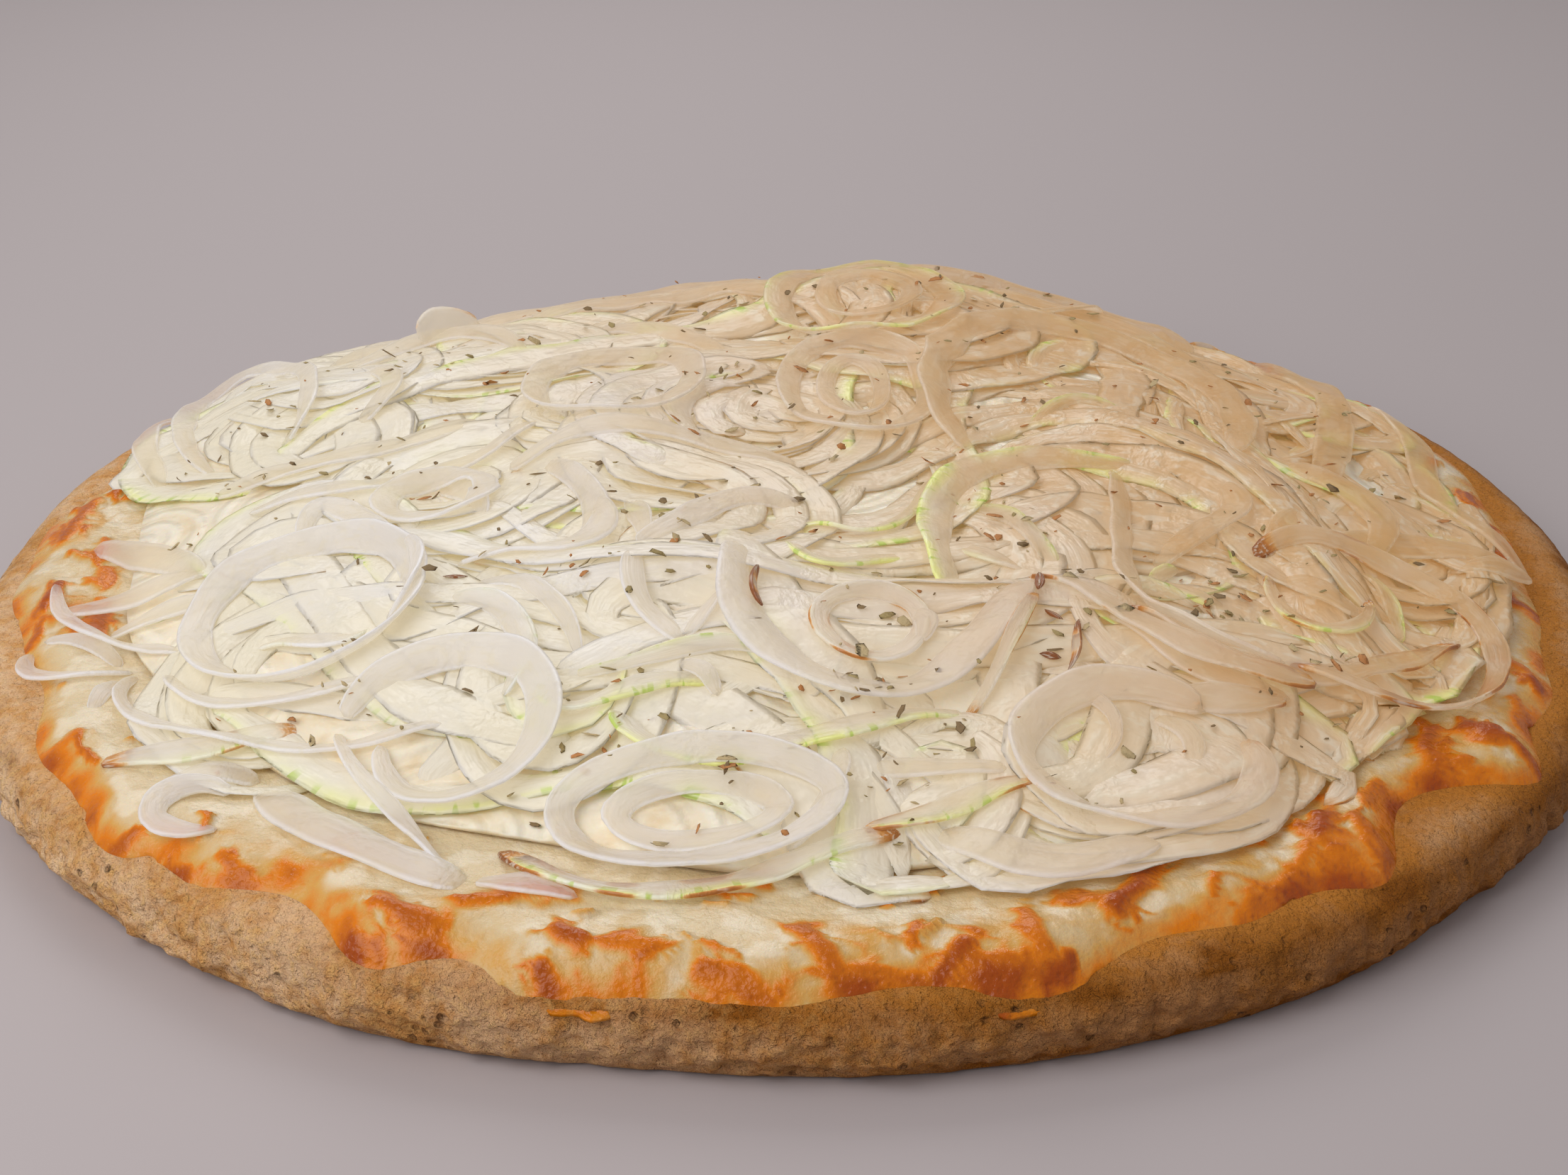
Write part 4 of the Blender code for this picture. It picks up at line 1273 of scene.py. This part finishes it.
TOP_SLICES = (
    # the back and the sides
    bent(6, 10, (-130, 18), (-141, 48), (-134, 80), (-112, 98), tone=0.5),
    bent(7, 0, (-118, 5), (-100, 6), (-80, 12), (-62, 26), tone=0.5),
    bent(7, 15, (-108, -10), (-84, -8), (-64, 2), (-50, 18), tone=0.3),
    bent(8, 30, (0, 128), (36, 126), (72, 116), (100, 96), tone=0.5),
    bent(6, 25, (-92, 98), (-62, 116), (-30, 124), (0, 119), tone=0.6),
    bent(7, 15, (-62, 92), (-38, 104), (-14, 102), (4, 90), tone=0.5),
    bent(7, 20, (42, 112), (64, 104), (84, 86), (96, 64), tone=0.5),
    bent(7, 10, (132, 62), (138, 40), (135, 12), (147, -20), tone=0.6),
    bent(8, 15, (110, 92), (123, 70), (119, 36), (108, -4), tone=0.5),
    bent(6, 20, (-12, 58), (-24, 72), (-44, 80), tone=0.5),
    bent(6, 20, (56, 92), (70, 100), (78, 116), tone=0.6),
    bent(6, 20, (-100, 62), (-84, 74), (-66, 72), (-56, 58), tone=0.5),
    bent(6, 20, (-108, 82), (-92, 95), (-70, 97), tone=0.5),
    bent(6, 20, (-90, 26), (-84, 42), (-92, 58), tone=0.5),
    bent(9, 55, (-84, 70), (-76, 80), (-68, 82), brown=0.3, tone=0.5),
    bent(2.2, 60, (97, 112), (102, 118), (109, 118), (112, 112), brown=1.0),
    Slice(arc(-118, 48, 14, 34, start=-60, sweep=300, turn=12), 5, 35, tone=0.3),
    bent(6, 15, (-56, -6), (-38, 6), (-16, 4), (4, -8), tone=0.4),
    bent(9, 5, (104, -26), (118, -22), (130, -20), (146, -22), tone=0.6),
    bent(7, 10, (100, 10), (112, -2), (118, -16), (112, -30), tone=0.6),
    bent(7, 5, (126, -30), (138, -27), (147, -24), tone=0.5),
    Slice(arc(16, 34, 15, 25), 6, 25, True, tone=0.3),
    Slice(arc(15, 32, 6, 14), 4, 20, True, tone=0.3),
    Slice(arc(-36, 36, 17, 21), 6, 30, True, tone=0.4),
    Slice(arc(19, 88, 20, 25), 7, 25, True, 0.7, tone=0.4),
    Slice(arc(20, 86, 10, 14), 5, 25, True, tone=0.4),
    Slice(arc(64, 30, 32, 47, start=215, sweep=-245), 8, 25, tone=0.4),
    bent(4, 10, (50, 15), (62, 30), (72, 22), green=0.9, tone=0.5),
    # left front, low
    bent(8, 5, (-140, -6), (-128, -14), (-118, -24), (-110, -34), tone=0.3),
    bent(8, 5, (-140, -36), (-125, -36), (-108, -30), tone=0.3),
    bent(6, 5, (-128, -46), (-112, -44), (-104, -40), tone=0.2),
    bent(6, 0, (-105, -100), (-95, -97), (-86, -99), tone=0.3),
    bent(8, 0, (-118, -92), (-108, -92), (-98, -92), (-88, -88), (-80, -86), green=0.6, brown=0.6),
    bent(
        10, 0, (-88, -100), (-80, -110), (-70, -118), (-58, -126), (-48, -130), green=-0.4,
        tone=0.25,
    ),
    bent(3.5, 20, (-140, -46), (-132, -47), (-125, -52), (-120, -58), tone=0.1),
    bent(
        4, 30, (-140, -45), (-141, -51), (-138, -58), (-130, -62), (-121, -60), (-117, -57),
        tone=0.1,
    ),
    bent(
        4, 25, (-142, -22), (-139, -33), (-136, -40), (-128, -48), (-118, -55), (-107, -58),
        tone=0.1, start=0.3,
    ),
    bent(3.5, 10, (-119, -60), (-122, -68), (-122, -76), tone=0.1),
    bent(
        4, 30, (-117, -58), (-119, -68), (-114, -78), (-104, -86), (-92, -92), (-78, -95),
        (-66, -95), (-54, -92), tone=0.1,
    ),
    bent(
        4.5, 35, (-111, -64), (-106, -74), (-96, -80), (-84, -81), (-74, -80), (-66, -76),
        tone=0.05,
    ),
    Slice(arc(-96, -108.5, 7, 7, start=50, sweep=260), 5, 25, tone=0.05),
    # middle, low
    bent(6, 25, (-48, -2), (-42, -12), (-37, -22), (-35, -35), (-40, -46), tone=0.15),
    bent(6, 20, (-62, -46), (-50, -44), (-39, -46), (-33, -38), (-36, -24), tone=0.2),
    bent(6, 20, (-70, -5), (-61, -14), (-57, -28), tone=0.2),
    Slice(arc(-68, -16, 10, 9), 6, 20, True, tone=0.15),
    bent(
        3.5, 10, (0, -36), (4, -32), (8, -34), (14, -39), (20, -34), (26, -22), (30, -8),
        green=1.0, tone=0.4,
    ),
    bent(3.5, 10, (0, -42), (3, -50), (6, -54), (14, -50), (26, -45), green=1.0, tone=0.4),
    bent(4.5, 15, (36, -22), (42, -30), (47, -42), (50, -52), green=0.7, tone=0.4),
    bent(4, 10, (30, -40), (36, -46), (46, -52), green=0.5, tone=0.3),
    bent(6, 30, (-28, -49), (-20, -40), (-12, -29), (-4, -24), (5, -27), tone=0.1),
    bent(5.5, 30, (-27, -50), (-27, -62), (-22, -72), (-16, -79), tone=0.1),
    bent(4, 25, (-8, -58), (-13, -69), (-18, -78), tone=0.2),
    bent(5, 15, (-30, -22), (-27, -34), (-25, -47), tone=0.3),
    # right, low
    bent(6.5, 15, (86, -8), (88, -22), (78, -32), (68, -45), tone=0.4),
    bent(5, 15, (101, -18), (94, -30), (89, -40), tone=0.4),
    bent(7, 5, (92, -42), (98, -52), (105, -59), tone=0.4),
    bent(3, 10, (109, -32), (112, -45), (112, -60), green=0.9, tone=0.4),
    Slice(arc(98, -50, 9, 13, start=140, sweep=230), 3.2, 20, green=0.9, brown=0.7, tone=0.4),
    bent(3, 10, (66, -49), (70, -44), (75, -43), green=0.9, tone=0.4),
    bent(7, 5, (57, -64), (66, -76), (76, -84), (88, -86), tone=0.4),
    bent(7, 0, (63, -88), (74, -90), (87, -86), brown=0.4, tone=0.4),
    bent(6, 20, (60, -60), (74, -76), (92, -80), (108, -70), (124, -54), brown=0.8, tone=0.4),
    bent(9, 5, (22, -120), (30, -124), (38, -129), (50, -128), (60, -122), tone=0.35),
    bent(7, 0, (40, -92), (50, -88), (62, -88), (72, -94), tone=0.4),
    bent(5, 0, (60, -92), (68, -98), (66, -108), tone=0.4),
    bent(5, 0, (-50, -128), (-42, -132), (-30, -135), tone=0.3),
    bent(
        5.5, 10, (-46, -118), (-40, -127), (-30, -133), (-18, -134), (-6, -131), (8, -126),
        (20, -119), green=0.9, brown=0.8,
    ),
    bent(5, 10, (10, -121), (22, -119), (32, -114), (42, -109), green=0.9, brown=0.5, tone=0.4),
    bent(5, 10, (12, -106), (25, -108), (38, -108), tone=0.3),
    bent(4.5, 25, (9, -100), (9, -110), (5, -120), (-1, -127), tone=0.15),
    # the large loops
    bent(5.5, 30, (-62, -56), (-52, -60), (-46, -70), (-45, -80), (-48, -90), green=0.5, tone=0.1),
    bent(4, 35, (-58, -52), (-50, -52), (-44, -57), (-38, -67), (-35, -79), tone=0.0),
    bent(
        5, 30, (66, -2), (65, -20), (63, -38), (62, -53), (66, -66), (74, -76), (88, -80),
        tone=0.3,
    ),
    bent(
        7.5, 25, (30, -58), (28, -42), (30, -22), (38, -8), (52, -2), (72, -3), green=0.9,
        tone=0.2,
    ),
    bent(
        6.5, 20, (42, -56), (52, -60), (60, -70), (70, -80), (82, -84), (93, -82), brown=0.5,
        tone=0.3,
    ),
    bent(
        5, 15, (-38, -81), (-41, -88), (-37, -94), (-31, -91), (-22, -87), (-10, -85),
        green=1.0, tone=0.3,
    ),
    bent(4, 15, (-38, -82), (-28, -83), (-18, -80), (-8, -78), (0, -82), green=0.6, tone=0.3),
    bent(3.5, 20, (-20, -82), (-13, -84), (-11, -92), tone=0.1),
    bent(
        6, 20, (-29, -91), (-26, -99), (-20, -103), (-10, -105), (1, -103), (11, -99),
        (21, -95), (32, -92), green=1.0, tone=0.1,
    ),
    Slice(arc(-14, -117, 13, 6), 5, 20, True, tone=0.0),
    Slice(arc(-14, -116.5, 22, 11.5), 5.5, 35, True, brown=0.2, tone=0.0),
    Slice(arc(15, -72, 9, 10), 3.5, 25, True, 0.4, 0.8, tone=0.2),
    bent(4, 20, (21, -67), (26, -73), (22, -80), tone=0.2),
    bent(
        9.5, 28, (-8, -48), (-9, -62), (-6, -76), (2, -86), (13, -91), (24, -88), (33, -78),
        (40, -66), (44, -57), tone=0.05, start=0.4,
    ),
    bent(3, 20, (29, -96), (36, -85), (42, -72), (45, -62), green=0.5, brown=0.6, tone=0.3),
    Slice(arc(47, -98, 8, 8, start=-60, sweep=220), 3, 30, tone=0.1),
    Slice(arc(58, -105, 19.5, 15.5, start=52, sweep=335), 7, 38, brown=0.35, tone=0.15),
    Slice(
        arc(105, -57, 24, 26, start=135, sweep=-270), 4.5, 35, brown=0.9, tone=0.1, start=0.7,
        end=1.0,
    ),
    Slice(arc(-56, -96, 20, 22, start=160, sweep=-340, spiral=0.55), 7, 35, tone=0.0, end=0.3),
    bent(3.2, 30, (-76, -88), (-74, -97), (-68, -107), (-60, -117), (-52, -127), tone=0.0),
    bent(
        5.5, 30, (-93, -28), (-92, -18), (-89, -15), (-83, -22), (-77, -32), (-71, -39),
        tone=0.05,
    ),
    bent(4.5, 25, (-96, -64), (-90, -62), (-82, -67), (-76, -66), (-74, -60), green=0.4, tone=0.1),
    Slice(arc(-87, -54, 20, 21), 6.5, 42, True, tone=0.0),
    bent(4, 30, (-71, -38), (-67, -46), (-67, -56), (-71, -67), tone=0.0),
    # small curled ends that browned
    bent(1.8, 40, (45, -57), (46, -62), (44, -67), brown=1.2, start=0.3, end=0.3, dive=0),
    bent(
        2.0, 40, (52, -69), (50, -76), (51, -80), (47, -86), brown=1.2, start=0.3, end=0.3,
        dive=0,
    ),
    bent(1.6, 30, (45, -66), (47, -71), (50, -73), brown=1.2, start=0.3, end=0.3, dive=0),
    bent(1.6, 30, (42, -79), (46, -78), (49, -81), brown=1.2, start=0.3, end=0.3, dive=0),
    bent(2.4, 40, (-4, -57), (-6, -66), (-3, -74), brown=1.2, start=0.3, end=0.4, dive=0),
    bent(1.4, 20, (-64, -49), (-60, -51), (-56, -49), brown=1.1, start=0.3, end=0.3, dive=0),
)
top_bm = slice_mesh(heap, TOP_SLICES, **TOP_MESH)
highest = round(float(heap.height.max()), 1)
print(len(TOP_SLICES), "slices placed by eye; highest point, mm:", highest)

# %% [markdown]
# Baked onion is wet, white at the cut edges and clear like thick glass between them. Some slices
# keep the bulb's green, as a flush along one edge with small dark ticks where the veins were cut,
# and some ends and edges caught the heat and browned. It is painted tan and darker towards the right
# and the back: painted shade where the light falls off. Slices that lie deep, and those under the
# top ones, are painted clearer and warmer: painted shade as well. Light scattered inside it is a
# translucent share and a warm, faint emission, so the base colours are dimmer and bluer than the
# onion looks.

# %% Onion finish
ONION_WHITE = (0.76, 0.79, 0.91)
ONION_CLEAR = (0.76, 0.75, 0.69)
ONION_SHADED_TAN = (0.63, 0.45, 0.27)
ONION_THROUGH = (1.0, 0.93, 0.79)
ONION_GLOW = (1.0, 0.85, 0.54)
ONION_CLEARNESS = 0.35
ONION_GREEN = (0.72, 0.76, 0.30)
VEIN_GREEN = (0.42, 0.58, 0.10)
ONION_BROWNS = ((0.35, (0.66, 0.40, 0.15)), (0.65, (0.44, 0.17, 0.04)), (1.0, (0.22, 0.07, 0.018)))
UNDER_LIGHT = 0.22
TOP_LIGHT = 0.21


def onion_finish(name, inner_light, on_top):
    """The onion's finish. Slices on top are whiter, and let those below them show through; the
    slices under them are painted clearer and warmer, as shade.
    """
    onion = Finish(name, IOR=1.42, Emission_Strength=inner_light)
    along, across, tone, green, brown, seared = (onion.attribute(name) for name in ATTRIBUTES)
    cloud = onion.noise(0.010, detail=3)
    rim = (across * across).between(0.45, 0.95)
    # Slices under the top ones are painted clearer and warmer than those on top: painted shade.
    clear = tone * 0.6 + (1 - rim) * 0.25 + (cloud - 0.5) * 0.5 + (-0.1 if on_top else 0.15)
    colour = onion.mix(clear.between(0.05, 0.95), ONION_WHITE, ONION_CLEAR)
    # Towards the right and the back the onion is painted tan and darker: painted shade where the
    # light falls off.
    away = onion.towards(1, 0.5, -0.09, 0.11)
    colour = onion.mix(away * (cloud + 0.48), colour, ONION_SHADED_TAN)
    flush = green * (cloud + 0.45)
    colour = onion.mix(flush.between(0.12, 0.9), colour, ONION_GREEN)
    step = onion.node("ShaderNodeCombineXYZ", inputs=[along * 0.55, across * 0.35, tone * 40])
    ticks = onion.noise(1.0, detail=0, at=step).between(0.60, 0.68)
    colour = onion.mix(ticks * green.between(0.3, 0.6) * 0.9, colour, VEIN_GREEN)
    speck = onion.noise(0.0015, detail=3)
    baked = brown + seared * rim + (speck - 0.5) * 0.35
    browned = onion.ramp(baked, *ONION_BROWNS)
    colour = onion.mix(baked.between(0.25, 0.55), colour, browned)
    fibre = onion.node("ShaderNodeCombineXYZ", inputs=[along * 0.04, across * 2.6, tone * 30])
    veins = onion.noise(1.0, detail=2, at=fibre)
    colour = onion.mix(veins.between(0.50, 0.66) * 0.45, colour, ONION_CLEAR)
    normal = onion.bump(veins, 0.0005)
    normal = onion.bump(onion.noise(0.004, detail=2), 0.0005, normal)
    solid = baked.between(0.3, 0.6)
    onion.lets_through(ONION_CLEARNESS - solid * 0.3 - green * 0.3, ONION_THROUGH)
    if on_top:
        onion.shows(Alpha=0.48 - tone * 0.3 + rim * 0.5 + solid + green * 0.3)
    glow = onion.node("ShaderNodeVectorMath", {"operation": "MULTIPLY"}, [colour, ONION_GLOW])
    gloss = 0.14 + cloud * 0.2
    return onion.shows(Base_Color=colour, Emission_Color=glow, Roughness=gloss, Normal=normal)


under_finish = onion_finish("soft onion", UNDER_LIGHT, False)
top_finish = onion_finish("baked onion", TOP_LIGHT, True)
add_piece("onion_slices_under", fill_bm, under_finish, "onions", "onions")
add_piece("onion_slices_top", top_bm, top_finish, "onions", "onions")

# %% [markdown]
# ## Herb flakes
#
# Dried oregano falls in chips of leaf, a few millimetres long, bent and torn, with some in small
# clumps. Each is a low cone of five to seven sides, stretched, bent and laid on the height map.

# %% Flakes
FLAKE_COUNT = 640
FLAKES_SEED = 31
FLAKES_REACH = 134
FLAKE_LIFT = 0.35
# Clumps in the photo: x, y, spread and number of flakes
CLUMPS = (
    (13, -89, 4, 20), (80, -56, 5, 22), (-30, -100, 4, 10), (-77, -73, 2, 5), (-74, -84, 2, 5),
    (-9, -99, 2, 6), (30, -102, 3, 6), (-37, -54, 4, 8), (42, -40, 3, 5), (16, -110, 3, 5),
)
HERB_COLOURS = (
    (0.0, (0.24, 0.16, 0.08)),
    (0.35, (0.38, 0.29, 0.13)),
    (0.68, (0.52, 0.40, 0.22)),
    (1.0, (0.50, 0.22, 0.08)),
)


def flake_places(rng):
    """Where the flakes fell: the clumps, then the rest, which are fewer at the front left."""
    places = [rng.normal((x, y), spread) for x, y, spread, count in CLUMPS for _ in range(count)]
    while len(places) < FLAKE_COUNT:
        radius, bearing = FLAKES_REACH * math.sqrt(rng.uniform()), rng.uniform(0, TURN)
        place = np.array([radius * math.cos(bearing), radius * math.sin(bearing) + HEAP_CENTRE_Y])
        right_enough = place[0] + 60 > rng.uniform(-60, 60)
        if right_enough or place[1] > -20:
            places.append(place)
    return places


def add_flake(bm, place, rng):
    """One chip of leaf, bent across its length and turned any way."""
    length = rng.choice([rng.uniform(0.7, 1.4), rng.uniform(1.2, 2.4), rng.uniform(2.0, 3.8)])
    width = length * rng.uniform(0.25, 0.75)
    chip = bmesh.ops.create_cone(
        bm, cap_ends=True, segments=int(rng.integers(5, 8)), radius1=0.5, radius2=0.44, depth=0.1
    )["verts"]
    bend = rng.uniform(-0.5, 0.5)
    for vert in chip:
        out = rng.uniform(0.55, 1.3)
        x, y = vert.co.x * length * out, vert.co.y * width * out
        vert.co = Vector((x, y, vert.co.z + bend * x * x / length)) * MM
    angles = (rng.normal(0, 0.3), rng.normal(0, 0.3), rng.uniform(0, TURN))
    tilt = Euler(angles).to_matrix().to_4x4()
    height = float(heap.at(np.array(place))) + FLAKE_LIFT
    move = Matrix.Translation(Vector((place[0], place[1], height)) * MM) @ tilt
    bmesh.ops.transform(bm, matrix=move, verts=chip)
    layer = bm.verts.layers.float["herb"]
    kind = float(rng.integers(0, len(HERB_COLOURS))) / (len(HERB_COLOURS) - 1)
    for vert in chip:
        vert[layer] = kind


def flakes_mesh():
    bm = bmesh.new()
    bm.verts.layers.float.new("herb")
    rng = np.random.default_rng(FLAKES_SEED)
    for place in flake_places(rng):
        add_flake(bm, place, rng)
    bmesh.ops.recalc_face_normals(bm, faces=bm.faces)
    return bm


def herb_finish():
    herb = Finish("dried herb", Roughness=0.8, Specular_IOR_Level=0.2)
    kind = herb.attribute("herb")
    speck = herb.noise(0.0006, detail=2)
    colour = herb.ramp(kind + (speck - 0.5) * 0.3, *HERB_COLOURS)
    return herb.shows(Base_Color=colour, Normal=herb.bump(speck, 0.0003))


add_piece("herb_flakes", flakes_mesh(), herb_finish(), "onions", "onions")
